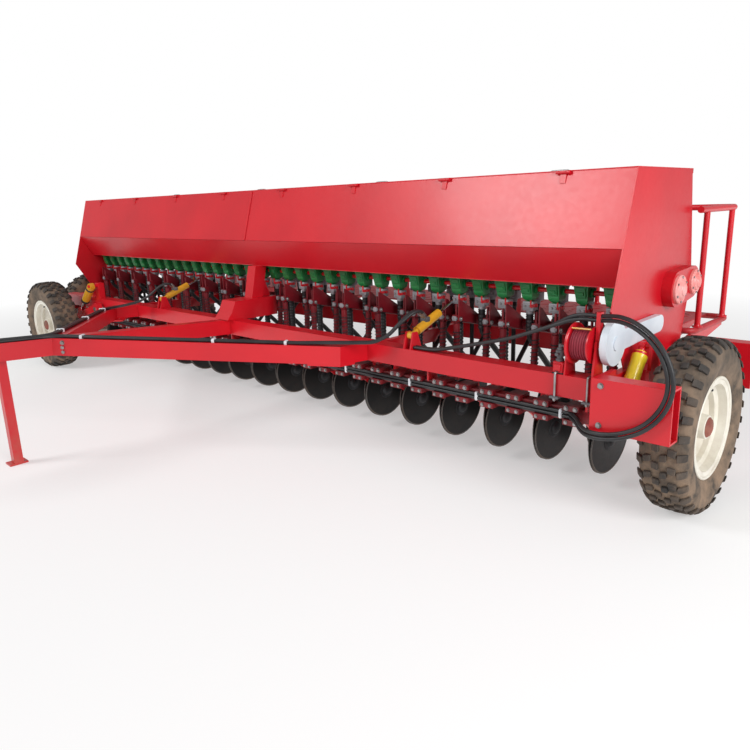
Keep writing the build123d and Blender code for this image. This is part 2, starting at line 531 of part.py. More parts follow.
# Gang bar, its hangers and the clamps of the openers, with a channel for the hoses
GANG_HALF = BEAM_HALF - 70.0
CLAMP_T = 16.0
CLAMP_IN = 24.0
CHANNEL = 21.0
node("gang_bar", bar((-GANG_HALF, GANG_Y, GANG_Z), (GANG_HALF, GANG_Y, GANG_Z), GANG, GANG, wall=5.0))
HANGER_T = 10.0
hanger_x = [-GANG_HALF + 5, GANG_HALF - 5] + [(ROW_X[i] + ROW_X[i + 1]) / 2 for i in (5, 11, 17, 23, 29)]
for x in hanger_x:
    node("gang_hangers", block(x - HANGER_T / 2, x + HANGER_T / 2, GANG_Y - 45, GANG_Y + 20, GANG_Z + GANG / 2, BEAM_Z - BEAM / 2))
FACE_IN = GANG_Y - GANG / 2
FACE_OUT = GANG_Y + GANG / 2
clamp = block(-38, 38, FACE_IN - CLAMP_IN, FACE_OUT + 10, GANG_Z - GANG / 2 - CLAMP_T, GANG_Z + GANG / 2 + CLAMP_T)
clamp -= block(-40, 40, FACE_IN, FACE_OUT, GANG_Z - GANG / 2, GANG_Z + GANG / 2)
clamp -= block(-40, 40, FACE_IN - CLAMP_IN - 1, FACE_IN, GANG_Z - CHANNEL, GANG_Z + CHANNEL)
for s in (-1, 1):
    clamp += side_plate([(FACE_OUT, PIVOT[1] - 30), (PIVOT[0] + 14, PIVOT[1] - 24), (PIVOT[0] + 24, PIVOT[1]),
                         (PIVOT[0] + 14, PIVOT[1] + 24), (FACE_OUT, PIVOT[1] + 40)], s * 30.4, s * 38)
clamp -= cross_rod(-30.3, 30.3, PIVOT, 25)
node("gang_clamps", [Pos(x, 0, 0) * clamp for x in ROW_X])


# Openers: a trailing arm and two discs set in a V that closes at the front
def opener_arm(hub, foot, s):
    dy, dz = hub[0] - PIVOT[0], hub[1] - PIVOT[1]
    run = math.hypot(dy, dz)
    uy, uz = dy / run, dz / run
    ny, nz = -uz, uy
    half = 26.0
    start = (PIVOT[0] + uy * 18, PIVOT[1] + uz * 18)
    outline = [(start[0] + ny * half, start[1] + nz * half), (hub[0] + ny * half, hub[1] + nz * half),
               (hub[0] - ny * half, hub[1] - nz * half), (start[0] - ny * half, start[1] - nz * half)]
    arm = side_plate(outline, -6, 6)
    arm += cross_rod(-30, 30, PIVOT, 24)
    arm += cross_rod(-30, 30, hub, 14)
    arm += side_plate([(hub[0] - 40, hub[1] + 20), (hub[0] + 45, hub[1] - 90), (hub[0] + 70, hub[1] - BOOT_TOP),
                       (hub[0] + 75, hub[1] + BOOT_TOP), (hub[0] - 12, hub[1] + BOOT_TOP)], -8, 8)
    z_arm = PIVOT[1] + dz / dy * (foot[0] - PIVOT[0])
    arm += side_plate([(foot[0] - 30, z_arm + 15), (foot[0] + 30, z_arm - 15), (foot[0] + 14, foot[1] + 14),
                       (foot[0] - 14, foot[1] + 14)], -6, 6)
    arm += cross_rod(-s * 6, s * (ROD_X + 15), foot, 7)
    return arm


def discs(hub):
    # The nip, where the two discs nearly touch, points forwards and DISC_NIP degrees down.
    nip = (-math.cos(math.radians(DISC_NIP)), -math.sin(math.radians(DISC_NIP)))
    lean = math.radians(DISC_TOE)
    pair = []
    for s in (-1, 1):
        normal = (math.cos(lean), s * math.sin(lean) * nip[0], s * math.sin(lean) * nip[1])
        plate = Cylinder(DISC_R, DISC_T) - Cylinder(14.7, DISC_T * 2)
        pair.append(Plane(origin=(s * DISC_SIDE, *hub), z_dir=normal).location * plate)
    return pair


levers = []
RANKS = (("front", FRONT_ROWS, FRONT_HUB, FRONT_FOOT, FRONT_LEVER), ("rear", REAR_ROWS, REAR_HUB, REAR_FOOT, REAR_LEVER))
for rank, rows, hub, foot, lever_end in RANKS:
    pair = discs(hub)
    run = math.hypot(lever_end[0] - foot[0], lever_end[1] - foot[1])
    uy, uz = (lever_end[0] - foot[0]) / run, (lever_end[1] - foot[1]) / run

    def along(t, s):
        return (s * ROD_X, foot[0] + uy * t, foot[1] + uz * t)

    for s in (-1, 1):
        # Rods and levers stand on the outer side of each row, mirrored about the middle
        arm = opener_arm(hub, foot, s)
        unit = Pos(*along(0, s)) * Rot(Y=90) * (Cylinder(15, 24) - Cylinder(7.3, 40))
        unit += rod(along(14, s), along(run + 80, s), 7)
        unit += rod(along(60, s), along(run - 26, s), 18)
        unit += bar(along(run - 20, s), along(run + 20, s), ROD_BLOCK, ROD_BLOCK, up=(1, 0, 0))
        lever = side_plate([(ROCK[0], ROCK[1] + 28), (lever_end[0] + 10, lever_end[1] + 100), (lever_end[0] - 14, lever_end[1] + 110),
                            (lever_end[0] - 16, lever_end[1] - 14), (lever_end[0] + 14, lever_end[1] - 14),
                            (ROCK[0], ROCK[1] - 28)], s * LEVER_IN, s * LEVER_OUT)
        for x in [x for x in rows if x * s > 0]:
            node("opener_arms_" + rank, Pos(x, 0, 0) * arm)
            node("pressure_rods_" + rank, Pos(x, 0, 0) * unit)
            levers.append(Pos(x, 0, 0) * lever)
    for x in rows:
        node("opener_discs_" + rank, [Pos(x, 0, 0) * d for d in pair])

# Rockshaft with a lever for each row and the cranks of the lift cylinders
ROCK_HALF = HOPPER_HALF - 8.0
shaft = cross_rod(-ROCK_HALF, ROCK_HALF, ROCK, ROCK_R)
crank_end = (ROCK[0] + CRANK_LEN * math.cos(math.radians(CRANK_DEG)), ROCK[1] + CRANK_LEN * math.sin(math.radians(CRANK_DEG)))
for x in LIFT_X:
    for s in (-1, 1):
        levers.append(side_plate([(ROCK[0] - 28, ROCK[1]), (crank_end[0] - 16, crank_end[1] + 12), (crank_end[0] + 16, crank_end[1] + 12),
                                  (ROCK[0] + 28, ROCK[1])], x + s * 9.5, x + s * 15.5))
node("rockshaft", [shaft.fuse(*levers)])
for x in (8 - ROCK_HALF, RAIL_X[1], RAIL_X[2], ROCK_HALF - 8):
    bearing = side_plate([(ROCK[0] - 60, RAIL_TOP), (ROCK[0] + 60, RAIL_TOP), (ROCK[0] + 45, ROCK[1] + 30),
                          (ROCK[0] + 20, ROCK[1] + 48), (ROCK[0] - 20, ROCK[1] + 48), (ROCK[0] - 45, ROCK[1] + 30)], x - 7, x + 7)
    node("rock_bearings", bearing - cross_rod(x - 20, x + 20, ROCK, ROCK_R + 0.3))

# Lift cylinders
run = math.hypot(crank_end[0] - CYL_LUG[0], crank_end[1] - CYL_LUG[1])
uy, uz = (crank_end[0] - CYL_LUG[0]) / run, (crank_end[1] - CYL_LUG[1]) / run
LIFT_ROD_R = 8.0
for x in LIFT_X:
    def at(t):
        return (x, CYL_LUG[0] + uy * t, CYL_LUG[1] + uz * t)

    turn = Rot(Y=90)
    barrel = rod(at(48), at(250), LIFT_R) + rod(at(10), at(50), 14) - rod(at(70), at(260), LIFT_ROD_R + 0.3)
    barrel += Pos(*at(0)) * turn * Cylinder(20, 30)
    barrel -= Pos(*at(0)) * turn * Cylinder(10.3, 60)
    node("lift_cylinder_barrels", barrel)
    piston = rod(at(130), at(run - 12), LIFT_ROD_R) + Pos(*at(run)) * turn * Cylinder(18, 18)
    piston -= Pos(*at(run)) * turn * Cylinder(9.4, 60)
    node("lift_cylinder_rods", piston)
    ears = [side_plate([(CYL_LUG[0] - 40, BEAM_TOP), (CYL_LUG[0] + 50, BEAM_TOP), (CYL_LUG[0] + 18, CYL_LUG[1] + 20),
                        (CYL_LUG[0] - 18, CYL_LUG[1] + 20)], x + a, x + b) for a, b in ((-28, -18), (18, 28))]
    node("cylinder_lugs", ears[0] + ears[1] + cross_rod(x - 28, x + 28, CYL_LUG, 10))

# Meters: a cup with a rounded foot below each bin, its shaft's boss, and an outlet block with a spout
OUTLET = 44.0
BLOCK_H = 48.0
SPOUT_H = 22.0


def cup(half_top, half_foot):
    # The outline of a cup that narrows to a round foot, centred on zero.
    top = make_face(Polyline((-half_top, METER_H), (-half_foot, half_foot), (half_foot, half_foot), (half_top, METER_H), close=True))
    return top + Pos(0, half_foot) * Circle(half_foot)


def meter(y, depth, foot_y, foot_x, shaft):
    side = Plane(origin=(-60, y, METER_FOOT), x_dir=(0, 1, 0), z_dir=(1, 0, 0)) * cup(depth, foot_y)
    front = Plane(origin=(0, y + 80, METER_FOOT), x_dir=(1, 0, 0), z_dir=(0, -1, 0)) * cup(METER_HALF, foot_x)
    housing = extrude(side, amount=120, dir=(1, 0, 0)) & extrude(front, amount=160, dir=(0, -1, 0))
    boss = cross_rod(-METER_HALF - 6, METER_HALF + 6, shaft, 22)
    return housing + boss - cross_rod(-METER_HALF - 20, METER_HALF + 20, shaft, SHAFT_R + 0.3)


def outlet(y, tube_r):
    z = METER_FOOT - GAP - BLOCK_H
    spout = Pos(0, y, z - SPOUT_H / 2) * Cone(tube_r, OUTLET / 2 - 1, SPOUT_H)
    return block(-OUTLET / 2, OUTLET / 2, y - OUTLET / 2, y + OUTLET / 2, z, METER_FOOT - GAP) + spout


METER_HALF = 38.0
for name, y, sizes, shaft, tube_r in (("seed_meters", METER_Y, (52.0, 36.0, 30.0), SEED_SHAFT, HOSE_R),
                                      ("fertiliser_meters", FERT_Y, (50.0, 32.0, 28.0), FERT_SHAFT, FERT_HOSE_R)):
    pair = [meter(y, *sizes, shaft), outlet(y, tube_r)]
    node(name, [Pos(x, 0, 0) * part for x in ROW_X for part in pair])

# Seed and fertiliser tubes down to each opener's boot
TUBE_TOP = METER_FOOT - GAP - BLOCK_H - SPOUT_H - 0.3
TUBE_FOOT = HUB_Z + BOOT_TOP + 0.3
for x in FRONT_ROWS:
    node("seed_tubes", rod((x, METER_Y, TUBE_TOP), (x, METER_Y, TUBE_FOOT), HOSE_R))
inlet = REAR_HUB[0] + 18
path = FilletPolyline((0, METER_Y, TUBE_TOP), (0, METER_Y, ROCK[1] - 50), (0, inlet, TUBE_FOOT + 100), (0, inlet, TUBE_FOOT), radius=60)
tube = sweep(Plane(origin=(0, METER_Y, TUBE_TOP), z_dir=(0, 0, -1)) * Circle(HOSE_R), path=path)
node("seed_tubes", [Pos(x, 0, 0) * tube for x in REAR_ROWS])
fert_inlet = FRONT_HUB[0] + 50
path = FilletPolyline((0, FERT_Y, TUBE_TOP), (0, FERT_Y, ROCK[1] - 50), (0, fert_inlet, TUBE_FOOT + 100), (0, fert_inlet, TUBE_FOOT), radius=60)
tube = sweep(Plane(origin=(0, FERT_Y, TUBE_TOP), z_dir=(0, 0, -1)) * Circle(FERT_HOSE_R), path=path)
node("seed_tubes", [Pos(x, 0, 0) * tube for x in FRONT_ROWS])
for x in REAR_ROWS:
    node("seed_tubes", rod((x, FERT_Y, TUBE_TOP), (x, FERT_Y, TUBE_FOOT), FERT_HOSE_R))

# Footboard with an open tube edge, and the handrail
BOARD_RIGHT = HOPPER_HALF - 60.0
EDGE_X = HOPPER_HALF + 35.0
board = block(STEP_LEFT + EDGE_TUBE, BOARD_RIGHT, STEP_Y[0], STEP_Y[1] - EDGE_TUBE, STEP_Z - STEP_T, STEP_Z)
EDGE_Z = STEP_Z - EDGE_TUBE
edge = FilletPolyline((STEP_LEFT + EDGE_TUBE, STEP_Y[0], EDGE_Z), (STEP_LEFT + EDGE_TUBE, STEP_Y[1] - EDGE_TUBE, EDGE_Z),
                      (EDGE_X, STEP_Y[1] - EDGE_TUBE, EDGE_Z), (EDGE_X, STEP_Y[0], EDGE_Z), (BOARD_RIGHT, STEP_Y[0], EDGE_Z), radius=50)
ring = sweep(Plane(origin=edge @ 0, z_dir=edge % 0) * Circle(EDGE_TUBE), path=edge)
node("footboard", board + ring)
REAR_FACE = REAR_BEAM_Y + BEAM / 2
BOARD_UNDER = STEP_Z - STEP_T
EDGE_UNDER = EDGE_Z - EDGE_TUBE
for x, top in [(x, BOARD_UNDER) for x in (STEP_LEFT + 350, -1000.0, 0.0, 1000.0, 1980.0, BOARD_RIGHT - 40)] + [(BEAM_HALF - 10, EDGE_UNDER)]:
    node("rear_brackets", side_plate([(REAR_FACE, BEAM_Z - 30), (REAR_FACE, BEAM_TOP), (STEP_Y[0] - 20, top), (STEP_Y[1] - 40, top),
                                      (STEP_Y[1] - 40, top - 24)], x - 5, x + 5))
POST_Y = STEP_Y[1] - EDGE_TUBE
LEFT_POST = STEP_LEFT + EDGE_TUBE
line = FilletPolyline((LEFT_POST, LID_REAR_Y + 61, RAIL_TOP_Z), (LEFT_POST, POST_Y, RAIL_TOP_Z), (EDGE_X, POST_Y, RAIL_TOP_Z),
                      (EDGE_X, LID_REAR_Y + 61, RAIL_TOP_Z), radius=60)
handrail = sweep(Plane(origin=line @ 0, z_dir=line % 0) * Circle(RAIL_TUBE), path=line)
POSTS = [(EDGE_X, STEP_Y[0] + 60), (LEFT_POST, STEP_Y[0] + 60), (LEFT_POST, POST_Y - 80), (EDGE_X, POST_Y - 80)]
POSTS += [(x, POST_Y) for x in (-1000.0, 0.0, 1000.0, 1980.0)]
for x, y in POSTS:
    handrail += rod((x, y, STEP_Z + GAP), (x, y, RAIL_TOP_Z), RAIL_TUBE - 2)
node("handrail", handrail)

# Drive: a gear case on each end plate, feed shafts through the meters, a drum and the chain guard
CASE_T = 50.0
CASE_A = FERT_SHAFT
CASE_B = (FERT_Y + 200.0, FERT_SHAFT[1] + 18.0)
CASE_SEAT = 14.0
for s in (-1, 1):
    case = stadium(CASE_A, CASE_B, 88.0, 80.0, s * (HOPPER_HALF + GAP), s * (HOPPER_HALF + CASE_T))
    for centre, r in ((CASE_A, 68.0), (CASE_B, 60.0)):
        case += cross_rod(s * (HOPPER_HALF + CASE_T), s * (HOPPER_HALF + CASE_T + 14), centre, r)
        case += cross_rod(s * (HOPPER_HALF + CASE_T), s * (HOPPER_HALF + CASE_T + 30), centre, 24)
    node("drive_cases", case - cross_rod(s * (HOPPER_HALF - 1), s * (HOPPER_HALF + CASE_SEAT), FERT_SHAFT, SHAFT_R + 0.3))
FERT_END = HOPPER_HALF + CASE_SEAT - 2
node("drive_cases", cross_rod(-FERT_END, FERT_END, FERT_SHAFT, SHAFT_R))
node("drive_cases", cross_rod(-INSIDE + GAP, INSIDE - GAP, SEED_SHAFT, SHAFT_R))
DRUM = (FRONT_BEAM_Y, BEAM_TOP + 140.0)
DRUM_R = 68.0
DRUM_FLANGE_R = 90.0
DRUM_X = (ROW_X[-1] - 8.0, ROW_X[-1] + 88.0)
GUARD_X = (HOPPER_HALF + 4.0, HOPPER_HALF + 34.0)
CLIP_X = HOPPER_HALF - 15.0
drum = cross_rod(DRUM_X[0], DRUM_X[0] + 8, DRUM, DRUM_FLANGE_R) + cross_rod(DRUM_X[0] + 7, DRUM_X[1], DRUM, DRUM_R)
drum += cross_rod(DRUM_X[1] - 6, DRUM_X[1], DRUM, DRUM_FLANGE_R - 10)
drum += cross_rod(DRUM_X[0] - 30, GUARD_X[0] - GAP, DRUM, 15)
for x0, x1 in ((DRUM_X[0] - 22, DRUM_X[0] - 14), (CLIP_X - 5, CLIP_X + 5)):
    drum += side_plate([(FRONT_BEAM_Y - 48, BEAM_TOP), (FRONT_BEAM_Y + 48, BEAM_TOP), (DRUM[0] + 25, DRUM[1] + 20),
                        (DRUM[0] - 25, DRUM[1] + 20)], x0, x1)
GUARD_R = 98.0
GUARD_LOBE = (DRUM[0] + 62.0, DRUM[1] + 4.0)
GUARD_NECK = (GUARD_LOBE[0] + 60.0, GUARD_LOBE[1] + 6.0)
GUARD_END = (GUARD_LOBE[0] + 480.0, GUARD_LOBE[1] + 18.0)
guard = stadium(GUARD_NECK, GUARD_END, 46.0, 40.0, *GUARD_X) + cross_rod(*GUARD_X, GUARD_LOBE, GUARD_R)
guard += cross_rod(HOPPER_HALF + GAP, GUARD_X[0] + 1, GUARD_END, 20)
guard += cross_rod(GUARD_X[1] - 1, GUARD_X[1] + 6, GUARD_LOBE, 30)
node("chain_guard", guard)

# Hydraulic hoses in pairs: in the clamps' slots, over the drawbar, and along the front beam
PIPE_R = 9.0
PAIR = 10.0
CHANNEL_Y = FACE_IN - PIPE_R - 1.0
CHANNEL_END = ROW_X[-1] - 10.0
LOOP_TOP = (DRUM[0], DRUM[1] + 118.0)
CLIP_HALF = 9.0
port = block(ROW_X[0] + 44, ROW_X[1] - 44, FACE_IN - CLAMP_IN, FACE_IN, GANG_Z - 26, GANG_Z + 26)
node("gang_hangers", port)
for k in (-1, 1):
    node("hoses", cross_rod(ROW_X[1] - 44, CHANNEL_END, (CHANNEL_Y, GANG_Z + k * PAIR), PIPE_R))


def over_bar(x, y):
    # A point on the drawbar's top where a hose lies.
    return (x, y, pitched_z(y, ARM_H / 2 / math.cos(RISE) + PIPE_R + 1))


# Each pair starts at its couplers on the tongue and ends at a lift cylinder's port
HOLDER_Y = HITCH_Y + 260.0
ROOT = (ARM_W / 2, APEX_Y - 75.0)
arm_run = math.hypot(ARM_X - ROOT[0], KINK_Y + 15 - ROOT[1])
arm_dir = ((ARM_X - ROOT[0]) / arm_run, (KINK_Y + 15 - ROOT[1]) / arm_run)


def on_arm(t):
    return over_bar(ROOT[0] + arm_dir[0] * t, ROOT[1] + arm_dir[1] * t)


right_x, left_x = LIFT_X[1], LIFT_X[0]
start = [over_bar(2 * PAIR, HOLDER_Y), over_bar(2 * PAIR, ROOT[1] - 30)]
right_line = start + [on_arm(arm_run - 220), (right_x - 150, -505, BEAM_Z + 86), (right_x - 92, -452, BEAM_Z + 122),
                      (right_x - 42, -408, BEAM_Z + 190), (right_x - 8, -355, BEAM_Z + 240), (right_x, -300, BEAM_Z + 245),
                      (right_x, -255, BEAM_Z + 195)]
left_line = [(-x, y, z) for x, y, z in start + [on_arm(arm_run - 300)]]
left_line += [(left_x - 205, -690, BEAM_Z + 78), (left_x - 190, -590, BEAM_Z + 86), (left_x - 130, -500, BEAM_Z + 108),
              (left_x - 70, -430, BEAM_Z + 160), (left_x - 22, -368, BEAM_Z + 225), (left_x, -305, BEAM_Z + 246),
              (left_x, -255, BEAM_Z + 195)]
EAR_OUT = LIFT_X[1] + 28.0
beam_line = [(EAR_OUT + 0.3, -375, BEAM_TOP + 10), (EAR_OUT + 140, -375, BEAM_TOP + 11), (2075, -378, BEAM_TOP + 66),
             (2303, -378, BEAM_TOP + 126), (2508, -374, BEAM_TOP + 204)]
for k in (-1, 1):
    side = k * PAIR
    node("hoses", hose(beside(right_line, side), PIPE_R, 160.0))
    node("hoses", hose(beside(left_line, side), PIPE_R, 160.0))
    node("hoses", hose(beside(beam_line, side) + [(2618, DRUM[0] - 0.6, LOOP_TOP[1] + 0.98 * side),
                                                  (CLIP_X + CLIP_HALF, DRUM[0], LOOP_TOP[1] + side)], PIPE_R, 900.0))
HOLDER_H = 40.0
COUPLER_R = 9.5
holder = block(-ARM_W / 2, ARM_W / 2, HOLDER_Y - 34, HOLDER_Y - 24, BEAM_Z, BEAM_Z + ARM_H / 2 + HOLDER_H)
holder = pitched(holder) - bar((0, HOLDER_Y + 40, pitched_z(HOLDER_Y + 40)), (0, HOLDER_Y - 90, pitched_z(HOLDER_Y - 90)), ARM_W - 1, ARM_H)
for x in (-3 * PAIR, -PAIR, PAIR, 3 * PAIR):
    tip, end = over_bar(x, HOLDER_Y - 62), over_bar(x, HOLDER_Y - 0.3)
    holder -= rod(over_bar(x, HOLDER_Y - 90), over_bar(x, HOLDER_Y + 30), COUPLER_R + 0.3)
    node("hoses", rod(tip, end, COUPLER_R))
NODES["tongue"][0] += holder

# The two free hoses loop from the gang bar round the tow socket and back over the drum
clip = block(CLIP_X - CLIP_HALF, CLIP_X + CLIP_HALF, DRUM[0] - 14, DRUM[0] + 14, DRUM[1], LOOP_TOP[1] + 26)
for k in (-1, 1):
    clip -= cross_rod(CLIP_X - 20, CLIP_X + 20, (LOOP_TOP[0], LOOP_TOP[1] + k * PAIR), PIPE_R + 0.7)
node("drive_cases", drum + clip)
LOOP_INNER = [(2619.6, -373.5, 464.7), (2668, -410, 462), (2718, -476, 456), (2775, -528, 456), (2845, -536, 460),
              (2918, -534, 478), (2994, -530, 518), (3051, -528, 580), (3085, -526, 656), (3085, -524, 733), (3052, -518, 809),
              (2994, -500, 867), (2926, -470, 898), (2860, -428, 907), (2799, -387, 904), (2740.8, -361.7, 893.7)]
LOOP_OUTER = [(2619.6, -373.5, 444.7), (2668, -410, 442), (2718, -476, 436), (2775, -528, 436), (2845, -536, 440),
              (2922, -534, 458), (3006, -530, 502), (3069, -528, 570), (3105, -526, 652), (3105, -524, 737), (3068, -518, 821),
              (3006, -500, 883), (2930, -470, 918), (2862, -428, 927), (2800, -387, 924), (2740.8, -361.7, 913.7)]
node("hose_loop_a", hose(LOOP_INNER, PIPE_R))
node("hose_loop_b", hose(LOOP_OUTER, PIPE_R))

os.makedirs("parts", exist_ok=True)
for name, solids in NODES.items():
    flat = [Pos(0, Y_SHIFT, 0) * solid for item in solids for solid in item.solids()]
    export_step(flat[0] if len(flat) == 1 else Compound(flat), "parts/" + name + ".step")
print("Y shift", Y_SHIFT, "nodes", len(NODES))
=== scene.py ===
# %% [markdown]
# # A wide trailed grain drill
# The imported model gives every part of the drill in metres: the hopper, frame, openers and
# wheels. This lesson keeps those parts, gives them real paint, rubber and steel, and adds the
# small things that a maker puts on last. First comes the frame and the box that it fills.

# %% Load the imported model
import math

import bmesh
import bpy
from mathutils import Matrix, Vector
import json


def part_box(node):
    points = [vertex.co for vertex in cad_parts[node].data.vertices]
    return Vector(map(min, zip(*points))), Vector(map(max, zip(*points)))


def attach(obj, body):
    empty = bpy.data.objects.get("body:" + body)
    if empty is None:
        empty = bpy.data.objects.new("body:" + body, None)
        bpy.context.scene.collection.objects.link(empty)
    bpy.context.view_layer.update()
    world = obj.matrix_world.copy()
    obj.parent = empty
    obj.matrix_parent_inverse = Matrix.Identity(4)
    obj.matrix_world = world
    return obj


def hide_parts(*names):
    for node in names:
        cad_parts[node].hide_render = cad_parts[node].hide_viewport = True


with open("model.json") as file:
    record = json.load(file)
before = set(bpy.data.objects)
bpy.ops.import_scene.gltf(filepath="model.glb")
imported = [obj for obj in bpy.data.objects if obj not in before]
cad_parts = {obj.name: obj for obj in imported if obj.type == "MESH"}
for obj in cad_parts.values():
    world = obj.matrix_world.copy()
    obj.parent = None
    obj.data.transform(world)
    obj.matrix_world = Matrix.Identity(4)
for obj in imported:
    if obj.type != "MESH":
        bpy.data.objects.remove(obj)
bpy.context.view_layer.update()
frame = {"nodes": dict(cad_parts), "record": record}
NODES = frame["nodes"]
SHIFT_Y = 0.70136  # the drawing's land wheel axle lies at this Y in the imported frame
print("nodes", len(NODES))


def axle(y):
    """A Y measured from the land wheels' axle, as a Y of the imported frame."""
    return y + SHIFT_Y


# %% [markdown]
# ## Camera
# The photograph was taken at standing height, off the front right corner. A camera is set by
# where it stands and where its three axes point; the lens length follows from the picture's
# width of 750 pixels on a sensor 36 mm wide.

# %% Place the camera
EYE = Vector((3.9567, axle(-2.9953), 1.3975))
HEADING, PITCH, ROLL = math.radians(44.17), math.radians(14.48), math.radians(-1.86)
FOCAL_PIXELS, PICTURE_PIXELS, SENSOR_MM = 660.8, 750.0, 36.0
ahead = math.cos(PITCH)
look = Vector((-math.sin(HEADING) * ahead, math.cos(HEADING) * ahead, -math.sin(PITCH)))
level = Vector((math.cos(HEADING), math.sin(HEADING), 0.0))
upright = level.cross(look)
right = math.cos(ROLL) * level + math.sin(ROLL) * upright
up = math.cos(ROLL) * upright - math.sin(ROLL) * level
lens = bpy.data.cameras.new("photo_camera")
lens.sensor_width = SENSOR_MM
lens.lens = FOCAL_PIXELS / PICTURE_PIXELS * SENSOR_MM
camera = bpy.data.objects.new("photo_camera", lens)
bpy.context.scene.collection.objects.link(camera)
camera.matrix_world = Matrix.Translation(EYE) @ Matrix((right, up, -look)).transposed().to_4x4()
bpy.context.scene.camera = camera
print("lens", round(lens.lens, 2))

# %% [markdown]
# ## Light and floor
# A big soft lamp high on the left front makes the gloss on the sloping hopper, a second one at
# the right lights the hopper's end, and a pale sky fills the shadows. The floor is white: close
# by it keeps the drill's shadow, and further out it fades into the white sky, so that no
# horizon shows.

# %% Sky, lamps and floor
SKY_FILL, SKY_SEEN = 0.42, 1.0
FADE_FROM, FADE_TO, FLOOR_GLOW = 4.0, 8.0, 0.4
FLOOR_WHITE = (0.97, 0.97, 0.97, 1.0)
LAMP_SIZE = 4.0
bpy.context.scene.view_settings.view_transform = "Standard"
sky = bpy.data.worlds.new("studio_sky")
bpy.context.scene.world = sky
sky.use_nodes = True
tree = sky.node_tree
backdrop = tree.nodes["Background"]
backdrop.inputs["Color"].default_value = (1.0, 1.0, 1.0, 1.0)
path = tree.nodes.new("ShaderNodeLightPath")
strength = tree.nodes.new("ShaderNodeMapRange")
strength.inputs["To Min"].default_value = SKY_FILL
strength.inputs["To Max"].default_value = SKY_SEEN
tree.links.new(path.outputs["Is Camera Ray"], strength.inputs["Value"])
tree.links.new(strength.outputs["Result"], backdrop.inputs["Strength"])


def lamp(name, place, target, power):
    """A soft round lamp at a place, turned to its target."""
    data = bpy.data.lights.new(name, "AREA")
    data.shape = "DISK"
    data.size = LAMP_SIZE
    data.energy = power
    made = bpy.data.objects.new(name, data)
    bpy.context.scene.collection.objects.link(made)
    made.location = place
    made.rotation_euler = (Vector(target) - Vector(place)).to_track_quat("-Z", "Y").to_euler()


lamp("key_lamp", (-3.5, -7.5, 7.0), (0.3, 0.4, 0.8), 470.0)
lamp("side_lamp", (8.5, -1.5, 3.6), (1.5, 0.5, 0.7), 380.0)

bpy.ops.object.select_all(action="DESELECT")
bpy.ops.mesh.primitive_circle_add(vertices=96, radius=60.0, fill_type="NGON", location=(0.0, 0.0, -0.001))
floor = bpy.context.object
floor.name = "floor"
white = bpy.data.materials.new("floor_white")
white.use_nodes = True
tree = white.node_tree
paint = tree.nodes["Principled BSDF"]
paint.inputs["Base Color"].default_value = FLOOR_WHITE
paint.inputs["Roughness"].default_value = 1.0
paint.inputs["Specular IOR Level"].default_value = 0.0
glow = tree.nodes.new("ShaderNodeEmission")
glow.inputs["Strength"].default_value = 1.0
place = tree.nodes.new("ShaderNodeTexCoord")
reach = tree.nodes.new("ShaderNodeVectorMath")
reach.operation = "LENGTH"
fade = tree.nodes.new("ShaderNodeMapRange")
fade.inputs["From Min"].default_value = FADE_FROM
fade.inputs["From Max"].default_value = FADE_TO
fade.inputs["To Min"].default_value = FLOOR_GLOW
blend = tree.nodes.new("ShaderNodeMixShader")
tree.links.new(place.outputs["Object"], reach.inputs[0])
tree.links.new(reach.outputs["Value"], fade.inputs["Value"])
tree.links.new(fade.outputs["Result"], blend.inputs["Fac"])
tree.links.new(paint.outputs["BSDF"], blend.inputs[1])
tree.links.new(glow.outputs["Emission"], blend.inputs[2])
tree.links.new(blend.outputs["Shader"], tree.nodes["Material Output"].inputs["Surface"])
floor.data.materials.append(white)

# %% [markdown]
# ## Finishes
# Real paint is never one flat colour. Each finish here is a Principled shader whose colour
# drifts between two shades with a soft noise, whose roughness drifts too, and which gathers
# field dust low down. The noise reads Object coordinates, so it stays on the part when the part
# moves.

# %% A finish with drift, dust and bump
DUST = (0.30, 0.20, 0.13, 1.0)
DUST_FLOOR = 0.05
COAT_ROUGH = 0.12


def ranged(new, **ends):
    """A Map Range node with the given ends, such as from_min."""
    node = new("ShaderNodeMapRange")
    for end, value in ends.items():
        node.inputs[end.replace("_", " ").title()].default_value = value
    return node


def noise(new, scale, detail):
    node = new("ShaderNodeTexNoise")
    node.inputs["Scale"].default_value = scale
    node.inputs["Detail"].default_value = detail
    return node


